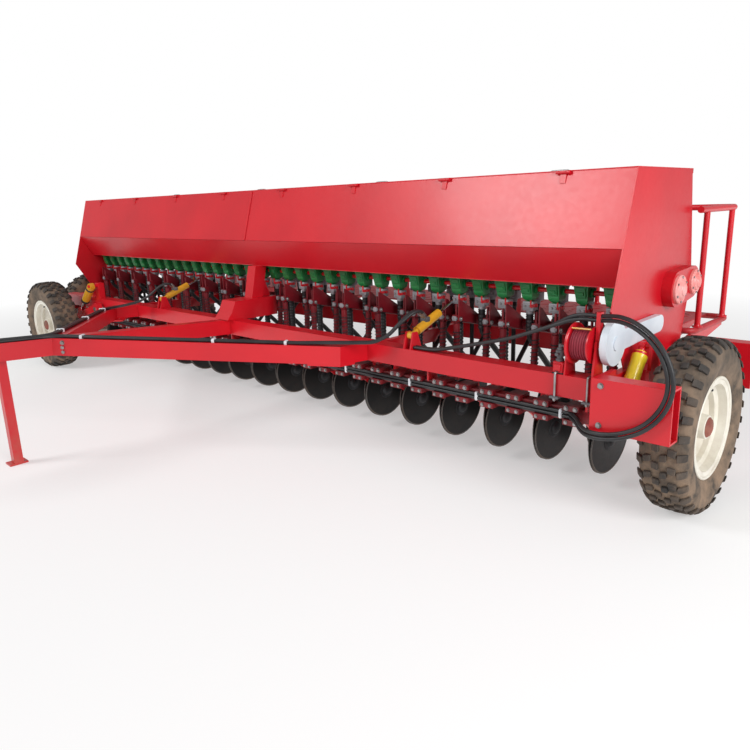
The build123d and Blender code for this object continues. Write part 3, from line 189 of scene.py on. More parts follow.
def finish(name, colour, shade, rough, metallic=0.0, coat=0.0, scale=3.0, dust=0.0, dust_top=0.7,
           bump=0.0, bump_scale=60.0):
    """A painted, rubber or metal finish. `rough` is a pair, lowest and highest."""
    made = bpy.data.materials.new(name)
    made.use_nodes = True
    tree = made.node_tree
    new, link = tree.nodes.new, tree.links.new
    shader = tree.nodes["Principled BSDF"]
    shader.inputs["Metallic"].default_value = metallic
    shader.inputs["Coat Weight"].default_value = coat
    shader.inputs["Coat Roughness"].default_value = COAT_ROUGH
    place = new("ShaderNodeTexCoord")
    drift = noise(new, scale, 5.0)
    link(place.outputs["Object"], drift.inputs["Vector"])
    tint = new("ShaderNodeMix")
    tint.data_type = "RGBA"
    tint.inputs["A"].default_value = (*colour, 1.0)
    tint.inputs["B"].default_value = (*shade, 1.0)
    spread = ranged(new, from_min=0.35, from_max=0.68)
    link(drift.outputs["Fac"], spread.inputs["Value"])
    link(spread.outputs["Result"], tint.inputs["Factor"])
    colour_out = tint.outputs["Result"]
    gloss = ranged(new, to_min=rough[0], to_max=rough[1])
    fine = noise(new, bump_scale, 3.0)
    link(place.outputs["Object"], fine.inputs["Vector"])
    link(fine.outputs["Fac"], gloss.inputs["Value"])
    if dust:
        split = new("ShaderNodeSeparateXYZ")
        link(place.outputs["Object"], split.inputs["Vector"])
        low = ranged(new, from_min=dust_top, from_max=DUST_FLOOR)
        link(split.outputs["Z"], low.inputs["Value"])
        grime = noise(new, 9.0, 8.0)
        grime.inputs["Roughness"].default_value = 0.7
        link(place.outputs["Object"], grime.inputs["Vector"])
        patch = ranged(new, from_min=0.38, from_max=0.62, to_max=dust)
        link(grime.outputs["Fac"], patch.inputs["Value"])
        amount = new("ShaderNodeMath")
        amount.operation = "MULTIPLY"
        link(low.outputs["Result"], amount.inputs[0])
        link(patch.outputs["Result"], amount.inputs[1])
        dirt = new("ShaderNodeMix")
        dirt.data_type = "RGBA"
        dirt.inputs["B"].default_value = DUST
        link(amount.outputs["Value"], dirt.inputs["Factor"])
        link(colour_out, dirt.inputs["A"])
        colour_out = dirt.outputs["Result"]
    link(colour_out, shader.inputs["Base Color"])
    link(gloss.outputs["Result"], shader.inputs["Roughness"])
    if bump:
        relief = new("ShaderNodeBump")
        relief.inputs["Strength"].default_value = 0.5
        relief.inputs["Distance"].default_value = bump
        link(fine.outputs["Fac"], relief.inputs["Height"])
        link(relief.outputs["Normal"], shader.inputs["Normal"])
    return made


# %% Every finish of the drill
# Each has a colour, the shade that it drifts to, and its lowest and highest roughness
RECIPES = {
    "red_paint": ((0.64, 0.006, 0.016), (0.54, 0.005, 0.014), (0.26, 0.40),
                  dict(coat=0.12, scale=2.0, dust=0.3, dust_top=0.55, bump=0.0006, bump_scale=45.0)),
    "tread_rubber": ((0.018, 0.017, 0.017), (0.050, 0.045, 0.041), (0.7, 0.9),
                     dict(scale=14.0, dust=0.35, dust_top=1.0, bump=0.001, bump_scale=150.0)),
    "tyre_rubber": ((0.060, 0.048, 0.038), (0.150, 0.112, 0.082), (0.75, 0.95),
                    dict(scale=9.0, dust=0.9, dust_top=1.0, bump=0.001, bump_scale=120.0)),
    "rim_paint": ((0.84, 0.81, 0.72), (0.70, 0.66, 0.56), (0.3, 0.5),
                  dict(coat=0.2, scale=6.0, dust=0.35, dust_top=0.7, bump=0.0004)),
    "green_plastic": ((0.010, 0.23, 0.055), (0.006, 0.15, 0.038), (0.25, 0.45), dict(scale=8.0)),
    "cast_grey": ((0.17, 0.17, 0.18), (0.11, 0.11, 0.12), (0.5, 0.75),
                  dict(metallic=0.4, scale=12.0, bump=0.0015, bump_scale=200.0)),
    "disc_steel": ((0.004, 0.004, 0.005), (0.010, 0.009, 0.009), (0.3, 0.5),
                   dict(metallic=0.2, scale=7.0, dust=0.06, dust_top=0.3)),
    "cast_light": ((0.34, 0.34, 0.36), (0.22, 0.22, 0.24), (0.45, 0.7),
                   dict(metallic=0.2, scale=14.0, bump=0.0012, bump_scale=180.0)),
    # painted shade: the red paint made darker for the parts that sit in shadow under the hopper
    "red_paint_painted_shade": ((0.21, 0.005, 0.012), (0.12, 0.004, 0.010), (0.3, 0.5),
                 dict(scale=6.0, dust=0.2, dust_top=0.6)),
    "black_hose": ((0.010, 0.010, 0.012), (0.022, 0.022, 0.024), (0.35, 0.55),
                   dict(scale=10.0, bump=0.0005, bump_scale=150.0)),
    # painted shade: this orange-yellow is the cylinders' yellow paint as it looks in shade
    "yellow_paint": ((0.70, 0.36, 0.02), (0.58, 0.27, 0.015), (0.25, 0.45), dict(coat=0.3, scale=8.0)),
    "chrome_rod": ((0.75, 0.75, 0.77), (0.65, 0.65, 0.67), (0.08, 0.2), dict(metallic=1.0, scale=20.0)),
    "bare_steel": ((0.42, 0.42, 0.43), (0.30, 0.29, 0.28), (0.3, 0.5), dict(metallic=1.0, scale=20.0)),
    "step_plate": ((0.52, 0.012, 0.026), (0.42, 0.01, 0.02), (0.35, 0.6),
                   dict(scale=5.0, dust=0.5, dust_top=0.9, bump=0.001)),
    "rust_red": ((0.30, 0.040, 0.030), (0.16, 0.030, 0.022), (0.5, 0.8),
                 dict(scale=14.0, dust=0.8, dust_top=0.9, bump=0.0008, bump_scale=90.0)),
    "worn_steel": ((0.20, 0.19, 0.18), (0.10, 0.09, 0.085), (0.25, 0.5),
                   dict(metallic=0.7, scale=9.0, dust=0.5, dust_top=0.4)),
    "dark_steel": ((0.06, 0.06, 0.065), (0.03, 0.03, 0.032), (0.35, 0.6), dict(metallic=0.6, scale=12.0)),
    "strap_white": ((0.78, 0.80, 0.83), (0.62, 0.64, 0.68), (0.4, 0.6), dict(scale=20.0)),
    # painted glare: red covers whose pale pink patches stand in for the glare on them
    "cover_red_painted_glare": ((0.86, 0.46, 0.44), (0.80, 0.20, 0.18), (0.3, 0.5),
                    dict(scale=11.0, bump=0.0008, bump_scale=40.0)),
    "guard_white": ((0.74, 0.80, 0.86), (0.60, 0.67, 0.74), (0.3, 0.5), dict(scale=6.0)),
    # painted sunlight: a brighter copy of the same yellow paint, for the trim cylinders that stand in sun
    "sunlit_yellow_painted_light": ((0.96, 0.74, 0.03), (0.88, 0.58, 0.02), (0.25, 0.4), dict(coat=0.4, scale=9.0)),
    "rope_red": ((0.26, 0.012, 0.030), (0.16, 0.008, 0.018), (0.45, 0.7), dict(scale=12.0)),
    "galvanised": ((0.70, 0.71, 0.73), (0.55, 0.56, 0.58), (0.35, 0.55), dict(metallic=0.6, scale=30.0)),
}
FINISH = {
    name: finish(name, colour, shade, rough, **rest)
    for name, (colour, shade, rough, rest) in RECIPES.items()
}
SLOT_OF = {part["node"]: part["material_slot"] for part in frame["record"]["subparts"]}
for node_name, node_object in NODES.items():
    node_object.data.materials.clear()
    node_object.data.materials.append(FINISH[SLOT_OF[node_name]])
# The rockshaft, pressure rods, gang clamps and gang bar wear the red paint with painted shade, darker where
# they sit in shadow
for shaded_node in ("rockshaft", "pressure_rods_front", "pressure_rods_rear", "gang_clamps", "gang_bar"):
    NODES[shaded_node].data.materials[0] = FINISH["red_paint_painted_shade"]
NODES["chain_guard"].data.materials[0] = FINISH["guard_white"]
print("finishes", len(FINISH))

# %% [markdown]
# ## Hoses that hang free
# Two hydraulic hoses leave the end of the gang bar, pass round the tow socket in one big loop
# and come back to a clip over the drum. A hose is a smooth line, so each one is a NURBS curve
# with a round bevel. The numbers are in the drawing's millimetres, and `at` turns them into
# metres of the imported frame.

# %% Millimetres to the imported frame
def at(x, y, z):
    return Vector((x * 0.001, y * 0.001 + SHIFT_Y, z * 0.001))


# %% The two free hoses
HOSE_D = 0.018
LOOPS = {
    "hose_loop_inner": ("hose_loop_a", 1.152, [
        (2619.6, -373.5, 464.7), (2668, -410, 462), (2718, -476, 456), (2775, -528, 456),
        (2845, -536, 460), (2918, -534, 478), (2994, -530, 518), (3051, -528, 580),
        (3085, -526, 656), (3085, -524, 733), (3052, -518, 809), (2994, -500, 867),
        (2926, -470, 898), (2860, -428, 907), (2799, -387, 904), (2740.8, -361.7, 893.7)]),
    "hose_loop_outer": ("hose_loop_b", 1.213, [
        (2619.6, -373.5, 444.7), (2668, -410, 442), (2718, -476, 436), (2775, -528, 436),
        (2845, -536, 440), (2922, -534, 458), (3006, -530, 502), (3069, -528, 570),
        (3105, -526, 652), (3105, -524, 737), (3068, -518, 821), (3006, -500, 883),
        (2930, -470, 918), (2862, -428, 927), (2800, -387, 924), (2740.8, -361.7, 913.7)]),
}
for loop_name, (node_name, length, route) in LOOPS.items():
    line = bpy.data.curves.new(loop_name, "CURVE")
    line.dimensions = "3D"
    line.bevel_depth = HOSE_D / 2
    line.bevel_resolution = 4
    line.use_fill_caps = True
    spline = line.splines.new("NURBS")
    spline.points.add(len(route) - 1)
    for point, place in zip(spline.points, route):
        point.co = (*at(*place), 1.0)
    spline.order_u = 3
    spline.use_endpoint_u = True
    spline.resolution_u = 8
    hose = bpy.data.objects.new(loop_name, line)
    bpy.context.scene.collection.objects.link(hose)
    line.materials.append(FINISH["black_hose"])
    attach(hose, "frame")
    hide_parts(node_name)
    print(loop_name, len(route), "points")

# %% [markdown]
# ## Helpers for small parts
# Most small parts are turned on a lathe or pressed from plate, so two helpers make the first
# shape: `lathe` spins an outline about the X axis, and `slab` starts from a cube and rounds its
# edges. `settle` copies a finished pattern to all its places as one piece with its own mesh, so
# forty bolts are modelled once. Patterns are in millimetres and `spot` puts them in the frame.

# %% Lathe, slab and settle
TO_METRES = Matrix.Translation((0.0, SHIFT_Y, 0.0)) @ Matrix.Scale(0.001, 4)
AS_DRAWN = TO_METRES  # for a pattern whose own corners are already in its place
WELD = 0.01


def spot(x, y, z, *turns):
    """A place in the drawing's millimetres, turned by each (degrees, axis) in order."""
    place = TO_METRES @ Matrix.Translation((x, y, z))
    for degrees, axis in turns:
        place = place @ Matrix.Rotation(math.radians(degrees), 4, axis)
    return place


def aimed(x, y, z, toward):
    """A place whose +X looks along a direction."""
    turn = Vector(toward).to_track_quat("X", "Z").to_matrix().to_4x4()
    return TO_METRES @ Matrix.Translation((x, y, z)) @ turn


def only(piece):
    """Makes a piece the one that the next operators work on."""
    bpy.ops.object.select_all(action="DESELECT")
    piece.select_set(True)
    bpy.context.view_layer.objects.active = piece


def lathe(outline, steps):
    """Spins an outline of (along X, radius) points about the X axis."""
    mesh = bpy.data.meshes.new("outline")
    edges = [(i, i + 1) for i in range(len(outline) - 1)]
    mesh.from_pydata([(x, 0.0, r) for x, r in outline], edges, [])
    piece = bpy.data.objects.new("outline", mesh)
    bpy.context.scene.collection.objects.link(piece)
    only(piece)
    bpy.ops.object.mode_set(mode="EDIT")
    bpy.ops.mesh.select_all(action="SELECT")
    bpy.ops.mesh.spin(steps=steps, angle=math.tau, center=(0.0, 0.0, 0.0), axis=(1.0, 0.0, 0.0))
    bpy.ops.mesh.select_all(action="SELECT")
    bpy.ops.mesh.remove_doubles(threshold=WELD)
    bpy.ops.mesh.normals_make_consistent(inside=False)
    bpy.ops.object.mode_set(mode="OBJECT")
    return piece


def slab(low, high, bevel, segments=1):
    """A block between two corners with rounded edges."""
    middle = [(a + b) / 2 for a, b in zip(low, high)]
    bpy.ops.object.select_all(action="DESELECT")
    bpy.ops.mesh.primitive_cube_add(size=1.0, location=middle)
    piece = bpy.context.object
    piece.scale = [b - a for a, b in zip(low, high)]
    bpy.ops.object.transform_apply(location=True, rotation=True, scale=True)
    bpy.ops.object.mode_set(mode="EDIT")
    bpy.ops.mesh.select_all(action="SELECT")
    bpy.ops.mesh.bevel(offset=bevel, segments=segments, affect="EDGES")
    bpy.ops.object.mode_set(mode="OBJECT")
    return piece


def tube(points, radius, sides=8):
    """A round bar that bends through the points."""
    line = bpy.data.curves.new("tube", "CURVE")
    line.dimensions = "3D"
    line.bevel_depth = radius
    line.bevel_resolution = (sides - 4) // 2
    line.use_fill_caps = True
    spline = line.splines.new("NURBS")
    spline.points.add(len(points) - 1)
    for point, place in zip(spline.points, points):
        point.co = (*place, 1.0)
    spline.order_u = 3
    spline.use_endpoint_u = True
    spline.resolution_u = 3
    piece = bpy.data.objects.new("tube", line)
    bpy.context.scene.collection.objects.link(piece)
    only(piece)
    bpy.ops.object.convert(target="MESH")
    return bpy.context.object


def joined(*pieces):
    """Joins several pieces into the first one."""
    bpy.ops.object.select_all(action="DESELECT")
    for piece in pieces:
        piece.select_set(True)
    bpy.context.view_layer.objects.active = pieces[0]
    bpy.ops.object.join()
    return bpy.context.object


def settle(name, pattern, places, finish_name, body="frame", smooth=35.0):
    """Copies the pattern's mesh to every place as one piece that rides on a body."""
    merged = bmesh.new()
    for place in places:
        copy = pattern.data.copy()
        copy.transform(place)
        merged.from_mesh(copy)
        bpy.data.meshes.remove(copy)
    mesh = bpy.data.meshes.new(name)
    merged.to_mesh(mesh)
    merged.free()
    bpy.data.objects.remove(pattern)
    mesh.materials.clear()
    mesh.materials.append(FINISH[finish_name])
    piece = bpy.data.objects.new(name, mesh)
    bpy.context.scene.collection.objects.link(piece)
    only(piece)
    bpy.ops.object.shade_smooth_by_angle(angle=math.radians(smooth))
    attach(piece, body)
    print(name, len(mesh.polygons), "faces")
    return piece


def again(pattern):
    """A second copy of a pattern, for a group that rides on another body."""
    copy = bpy.data.objects.new(pattern.name, pattern.data.copy())
    bpy.context.scene.collection.objects.link(copy)
    return copy


# %% [markdown]
# ## Tyres
# Each tyre is a turned carcass with a worn block tread: two rows of centre blocks and two rows
# of shoulder blocks that reach down the sidewall, all staggered. One block starts as a slab, is
# subdivided and then wrapped round the crown, so that it curves with the tyre.

# %% Carcass and tread blocks
TYRE_R = 398.0
SHOULDER_X = 62.0
WHEELS = {
    "land_right": (3024.0, 0.0, 0.0), "land_left": (-3024.0, 0.0, 180.0),
    "transport_front": (-2520.0, -660.0, -90.0), "transport_rear": (-2520.0, 780.0, 90.0),
}


def crown(x):
    """The radius of the tread's surface at a distance from the tyre's middle."""
    x = abs(x)
    if x < SHOULDER_X:
        return TYRE_R - 0.0008 * x * x
    return TYRE_R - 3.1 - 0.0165 * (x - SHOULDER_X) ** 2


SIDE = [
    (-63, 204.6), (-71.2, 206), (-74.6, 229.5), (-80, 232), (-86, 240), (-90, 250), (-90.5, 256),
    (-93.5, 262), (-99, 285), (-103, 300), (-104.4, 312), (-103, 326), (-101.5, 330), (-100.2, 344),
    (-94, 361), (-80, 374), (-62, 381), (-30, 385), (0, 386),
]
INNER_SIDE = [(-x, r) for x, r in reversed(SIDE[:-1])]
BEAD = [(63, 200), (-63, 200), SIDE[0]]
# Inner and outer X of a block, half its length, its lean in degrees and its share of a step
BLOCKS = ((3, 30, 15.5, 10.0, 0.0), (34, 66, 15.0, -12.0, 0.5), (70, 103, 17.0, 4.0, 0.08))
BLOCK_DEPTH, SUNK_FROM, SUNK_SHARE = 16.0, 90.0, 0.9
TREAD_COUNT = 30
block_tread = []
for x0, x1, half, lean, step in BLOCKS:
    block = slab((x0, -half, -BLOCK_DEPTH), (x1, half, 0.0), 2.6)
    only(block)
    bpy.ops.object.mode_set(mode="EDIT")
    bpy.ops.mesh.select_all(action="SELECT")
    bpy.ops.mesh.subdivide(number_cuts=1)
    bpy.ops.object.mode_set(mode="OBJECT")
    block_tread.append((block, math.tan(math.radians(lean)), step))
tread = bmesh.new()
for turn in range(TREAD_COUNT):
    for side in (1, -1):
        for block, lean, step in block_tread:
            copy = block.data.copy()
            shift = turn + step + (0.5 if side < 0 else 0.0)
            for vertex in copy.vertices:
                x, y, depth = vertex.co
                radius = crown(x) + depth * (1.0 if x < SUNK_FROM else SUNK_SHARE)
                angle = math.tau * shift / TREAD_COUNT + (y + lean * x) / TYRE_R
                vertex.co = (side * x, radius * math.sin(angle), radius * math.cos(angle))
            if side < 0:
                copy.flip_normals()
            tread.from_mesh(copy)
            bpy.data.meshes.remove(copy)
for block, lean, step in block_tread:
    bpy.data.objects.remove(block)
tread_mesh = bpy.data.meshes.new("tread")
tread.to_mesh(tread_mesh)
tread.free()
tread_blocks = bpy.data.objects.new("tread", tread_mesh)
bpy.context.scene.collection.objects.link(tread_blocks)
carcass = lathe(SIDE + INNER_SIDE + BEAD, 84)
for wheel, (x, y, turn) in WHEELS.items():
    middle = spot(x, y, TYRE_R, (turn, "Z"))
    body = "wheel_" + wheel
    piece = settle("carcass_" + wheel, again(carcass), [middle], "tyre_rubber", body, 32.0)
    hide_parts("tyre_" + wheel)
    settle("tread_" + wheel, again(tread_blocks), [middle], "tread_rubber", body, 32.0)
bpy.data.objects.remove(carcass)
bpy.data.objects.remove(tread_blocks)

# %% [markdown]
# ## Wheel hubs
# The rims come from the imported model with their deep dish. What they still need is what a
# mechanic touches: a pale hub with its flange, six rust-red wheel nuts and a grease cap, the
# rolled lip of the rim and the valve.

# %% Hubs, nuts and rim lips
NUTS, NUT_CIRCLE_R = 6, 78
HUB = [(-22, 0), (-22.6, 94), (-19, 97), (-15, 96), (-13, 90), (-12, 66), (-8, 62.5), (48, 54),
       (60, 53.5), (62, 51), (62.5, 0)]
HUB_CAP = [(60, 0), (60, 44), (64, 46), (66, 42), (72, 38), (76, 28), (78, 14), (78.5, 0)]
WHEEL_NUT = [(-17, 0), (-17, 15), (-13.5, 15.5), (-13, 11.5), (-3, 11.5), (-1.5, 9.5), (-1.5, 6),
             (5, 5.5), (6, 0)]
RIM_LIP = [(76, 217), (84, 219), (87.5, 224), (87.5, 229), (84, 233), (78, 233.5), (75, 230), (76, 217)]
TYRE_VALVE = [(0, 0), (0, 6), (14, 6), (15, 4), (40, 4), (41, 6), (52, 6), (54, 4), (54, 0)]
for wheel, (x, y, turn) in WHEELS.items():
    middle = spot(x, y, TYRE_R, (turn, "Z"))
    body = "wheel_" + wheel
    out = Matrix.Translation((0, 0, NUT_CIRCLE_R))
    nuts = [middle @ Matrix.Rotation(math.tau * i / NUTS, 4, "X") @ out for i in range(NUTS)]
    settle("hub_" + wheel, lathe(HUB, 36), [middle], "rim_paint", body)
    settle("hub_cap_" + wheel, lathe(HUB_CAP, 24), [middle], "rust_red", body)
    settle("wheel_nuts_" + wheel, lathe(WHEEL_NUT, 6), nuts, "rust_red", body)
    settle("rim_lip_" + wheel, lathe(RIM_LIP, 72), [middle], "rim_paint", body, 60.0)
    settle("valve_" + wheel, lathe(TYRE_VALVE, 10), [middle @ Matrix.Translation((14, 0, 171))],
           "black_hose", body)

# %% [markdown]
# ## Bolts of the gang bar
# Every opener hangs from a clamp on the gang bar. Each clamp is drawn together by bolts whose
# heads show in pairs above and nuts below. A hexagon is a lathe with six steps.

# %% Clamp bolts
ROWS, PITCH_X = 36, 150.0
ROW_X = [(i - (ROWS - 1) / 2) * PITCH_X for i in range(ROWS)]
CLAMP_FRONT = -384.0
UPWARD, DOWNWARD, FORWARD, REARWARD = (-90, "Y"), (90, "Y"), (-90, "Z"), (90, "Z")


def bolt(head):
    """A washer with a hexagon head along +X, turned in two lathes."""
    washer = lathe([(-1, 0), (-1, head * 1.25), (2.0, head * 1.22), (2.4, 0)], 10)
    hexagon = lathe([(2.2, 0), (2.2, head), (head * 0.85, head), (head, head * 0.82), (head, 0)], 6)
    return joined(washer, hexagon)


def pairs(z):
    """The two places on every row's clamp at one height."""
    return [spot(x + dx, CLAMP_FRONT, z, FORWARD) for x in ROW_X for dx in (-22, 22)]


settle("clamp_bolts", bolt(9.5), pairs(488.5), "bare_steel")
settle("clamp_nuts", bolt(7.5), pairs(421.5), "bare_steel")

# %% [markdown]
# ## Openers
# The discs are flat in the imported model. A real disc has a ground, worn edge that shines grey
# against the black, and a bearing cap on its outer side. Both are lathed once and set at each
# disc's tilt, so `aimed` turns the lathe's X axis along the disc's normal.

# %% Worn disc edges and bearing caps
DISC_SIDE, DISC_TOE, DISC_NIP = 21.0, math.radians(5.5), math.radians(30.0)
DISC_EDGE = [(-2.8, 168), (-2.8, 173), (-0.6, 176), (0.6, 176), (2.8, 173), (2.8, 168), (-2.8, 168)]
DISC_CAP = [(1, 0), (1, 56), (5, 54), (7, 36), (15, 31), (19, 24), (20, 0)]
HUBS = {"front": (0.0, 240.0), "rear": (280.0, 240.0)}
ROWS_OF = {"front": ROW_X[1::2], "rear": ROW_X[0::2]}
back = -math.sin(DISC_TOE)
edge_pattern = lathe(DISC_EDGE, 36)
cap_pattern = lathe(DISC_CAP, 12)
for rank, rows in ROWS_OF.items():
    discs = []
    for x in rows:
        for s in (-1, 1):
            toward = (s * math.cos(DISC_TOE), back * math.cos(DISC_NIP), back * math.sin(DISC_NIP))
            discs.append(aimed(x + s * DISC_SIDE, *HUBS[rank], toward))
    body = "openers_" + rank
    settle("disc_edges_" + rank, again(edge_pattern), discs, "worn_steel", body)
    settle("disc_caps_" + rank, again(cap_pattern), discs, "dark_steel", body)
bpy.data.objects.remove(edge_pattern)
bpy.data.objects.remove(cap_pattern)

# %% [markdown]
# ## Pressure springs
# Each row's down-pressure comes from a coil spring round its rod. The coil is a helix drawn as
# a curve with a round bevel; its last half turn at each end lies flat, as a ground spring does.

# %% Springs and lever rivets
COIL_R, WIRE_R, COILS, COIL_PITCH, PER_TURN = 20.6, 2.8, 9, 21.0, 8
CURVE_PULL = 1.08  # the curve runs inside its points, so they stand further out
SPRING_START, ROD_SIDE, RIVET_SIDE = 92.0, 55.0, 83.0
RIVET = [(0, 0), (0, 14), (2.5, 13.5), (3, 10), (7, 8.5), (9.5, 5), (10, 0)]
# The foot and the upper end of each rank's rods, as (y, z)
RODS = {"front": ((-94.0, 440.0), (-95.0, 775.0)), "rear": ((-40.0, 440.0), (-20.0, 760.0))}
coil_points = []
for step in range(COILS * PER_TURN + 1):
    turn = step / PER_TURN
    rise = min(max(turn - 0.5, 0.0), COILS - 1.0) * COIL_PITCH
    across, upward = math.cos(math.tau * turn), math.sin(math.tau * turn)
    coil_points.append((rise, COIL_R * across * CURVE_PULL, COIL_R * upward * CURVE_PULL))
coil = tube(coil_points, WIRE_R, 4)
rivet = lathe(RIVET, 10)
for rank, rows in ROWS_OF.items():
    (foot_y, foot_z), (end_y, end_z) = RODS[rank]
    toward = (0.0, end_y - foot_y, end_z - foot_z)
    share = SPRING_START / math.hypot(toward[1], toward[2])
    start = (foot_y + toward[1] * share, foot_z + toward[2] * share)
    coils = [aimed(x + (ROD_SIDE if x > 0 else -ROD_SIDE), *start, toward) for x in rows]
    settle("springs_" + rank, again(coil), coils, "dark_steel", "rods_" + rank, 60.0)
    rivets = [spot(x + (RIVET_SIDE if x > 0 else -RIVET_SIDE), end_y, end_z, (0 if x > 0 else 180, "Z"))
              for x in rows]
    settle("lever_rivets_" + rank, again(rivet), rivets, "bare_steel", "rockshaft")
bpy.data.objects.remove(coil)
bpy.data.objects.remove(rivet)

# %% [markdown]
# ## Meters
# The green cups are moulded in plastic: a flange under the hopper floor and a raised shutter
# with its slide on the front. Below each cup a grey block carries two screws, and a ribbed
# collar holds the tube.

# %% Meter flanges, shutters, screws and tube collars
# Each bank's Y, half the depth of its cups' tops and its tubes' radius
BANKS = {"seed": (8.0, 52.0, 16.0), "fertiliser": (335.0, 50.0, 13.0)}
BLOCK_SCREW = [(-1, 0), (-1, 6.5), (2, 6), (5, 4), (5.5, 0)]
CUP_SLOPE = 12.7
for bank, (y, top, r) in BANKS.items():
    flange = slab((-43, y - top - 6, 985), (43, y + top + 6, 995.4), 2.0)
    settle(bank + "_flanges", flange, [spot(x, 0, 0) for x in ROW_X], "green_plastic")
    shutter = joined(
        slab((-26, -6, -27), (26, 4, 27), 3.0),
        slab((-17, -10, -16), (17, -3, 2), 2.5),
        slab((-30, -4, 22), (30, 4, 30), 2.0))
    shutters = [spot(x, y - top + 8, 958, (CUP_SLOPE, "X")) for x in ROW_X]
    settle(bank + "_shutters", shutter, shutters, "green_plastic")
    screws = [spot(x + dx, y - 28, 866, FORWARD) for x in ROW_X for dx in (-11, 11)]
    settle(bank + "_block_screws", lathe(BLOCK_SCREW, 8), screws, "bare_steel", smooth=50.0)
    ribs = [(0, 0), (0, r + 5), (5, r + 5), (6, r + 2), (10, r + 2), (11, r + 5), (16, r + 5),
            (17, r + 2), (21, r + 2), (22, r + 4.5), (28, r + 3), (34, r + 0.2), (34, 0)]
    collars = [spot(x, y, 822, DOWNWARD) for x in ROW_X]
    settle(bank + "_tube_collars", lathe(ribs, 12), collars, "black_hose")

# %% [markdown]
# ## Outlets and shut-offs
# Under each meter a light cast block narrows to a spout. The seed tubes wear ribbed sleeves,
# and each row's shut-off is a small red lever on the side of its block.

# %% Outlets, spouts, sleeves, levers and swivel blocks
SEED_Y = BANKS["seed"][0]
SPOUT_R, RIB_PITCH = 21.8, 20
for bank, (y, top, r) in BANKS.items():
    outlet = joined(
        slab((-31, -25, -48.6), (31, 25, -0.3), 3.5, 2),
        slab((-23, -28, -40), (23, -20, -8), 2.5))
    outlets = [spot(x, y, 889) for x in ROW_X]
    settle(bank + "_outlets", outlet, outlets, "cast_light")
    spout = [(-2, 0), (-2, SPOUT_R), (3, SPOUT_R), (21, r + 0.8), (23, r + 0.8), (23, 0)]
    spouts = [spot(x, y, 840, DOWNWARD) for x in ROW_X]
    settle(bank + "_spouts", lathe(spout, 14), spouts, "cast_light")
for rank, count in (("front", 22), ("rear", 4)):
    ribbed = [(0, 0), (0, 17)]
    for i in range(count):
        ribbed += [(dx + RIB_PITCH * i, r) for dx, r in ((2, 18), (5, 21), (15, 21), (18, 18))]
    ribbed += [(RIB_PITCH * count, 17), (RIB_PITCH * count, 0)]
    sleeves = [spot(x, SEED_Y, 790, DOWNWARD) for x in ROWS_OF[rank]]
    settle("ribbed_sleeves_" + rank, lathe(ribbed, 12), sleeves, "black_hose", smooth=60.0)
lever = joined(
    slab((-5, -52, -7), (1, -12, 9), 2.0),
    slab((-5, -60, -2), (1, -48, 34), 2.5),
    lathe([(-7, 0), (-7, 10), (3, 10), (3, 0)], 10))
settle("shut_off_levers", lever, [spot(x + 37, SEED_Y, 868) for x in ROW_X], "red_paint")
hinge_block = joined(
    slab((-13, -12, -13), (13, 12, 13), 3.5),
    lathe([(-17, 0), (-17, 7), (17, 7), (17, 0)], 8))
for rank, rows in ROWS_OF.items():
    end_y, end_z = RODS[rank][1]
    blocks = [spot(x + (ROD_SIDE if x > 0 else -ROD_SIDE), end_y - 16, end_z + 2) for x in rows]
    settle("swivel_blocks_" + rank, again(hinge_block), blocks, "cast_light", "rods_" + rank)
bpy.data.objects.remove(hinge_block)

# %% [markdown]
# ## Hopper
# The two halves of the hopper meet in the middle, where a folded strip covers the joint. The
# lids have pressed ribs that stop them from flapping, and bent handles at the back.

# %% Joint strip, lid ribs and handles
LID_TOP = 1520
HANDLE_X = (690, 2050)
GRIP = [(-60, 0, -6), (-60, 0, 8), (-58, 0, 22), (-44, 0, 26), (44, 0, 26), (58, 0, 22), (60, 0, 8),
        (60, 0, -6)]
strip = slab((-13, -1.5, -172), (13, 1.5, 172), 1.0)
settle("joint_strip_upper", strip, [spot(0, -158.2, 1346, (-16.8, "X"))], "red_paint")
for side, s in (("left", -1), ("right", 1)):
    rib = slab((-11, -215, -3), (11, 215, 3), 2.8, 2)
    ribs = [spot(s * (270 + 440 * i), 230, LID_TOP + 0.5) for i in range(6)]
    settle("lid_ribs_" + side, rib, ribs, "red_paint", "lid_" + side)
    handles = [spot(s * x, 498, LID_TOP) for x in HANDLE_X]
    settle("lid_handles_" + side, tube(GRIP, 5.0), handles, "bare_steel", "lid_" + side, 60.0)

# %% [markdown]
# ## Straps, U-bolts and the stop valve
# White straps hold the hoses in pairs. Near the right end two U-bolts clasp the front beam over
# a dark plate, and beside them a stop valve stands on a red block.

# %% Hose straps
GANG_STRAP_X = (1172, 1672, 2111, 2572)
ARM_STRAP_X = (1120, 788, 160, -1060, -650, -170)
ARM_SPREAD, ARM_DROP = 0.741, 0.052  # along the drawbar's arms, for each millimetre of X
TONGUE_X, TONGUE_END_Y = 20.0, -1585.0
HOSE_LOW_Z, BEAM_Y, HOSE_RISE = 655.1, -410.0, math.radians(3.3)
band = slab((-8, -12.6, -22.6), (8, 12.6, 22.6), 7.0, 3)
settle("gang_straps", band, [spot(x, -370, 455) for x in GANG_STRAP_X], "strap_white")
arm_band = slab((-9, -24, -12), (9, 24, 13), 7.0, 3)
arm_straps = []
for x in ARM_STRAP_X:
    y = TONGUE_END_Y + (abs(x) - TONGUE_X) * ARM_SPREAD
    height = HOSE_LOW_Z - (y - BEAM_Y) * math.tan(HOSE_RISE)
    arm_straps.append(aimed(x, y, height, (x, abs(x) * ARM_SPREAD, -abs(x) * ARM_DROP)))
settle("arm_straps", arm_band, arm_straps, "strap_white")

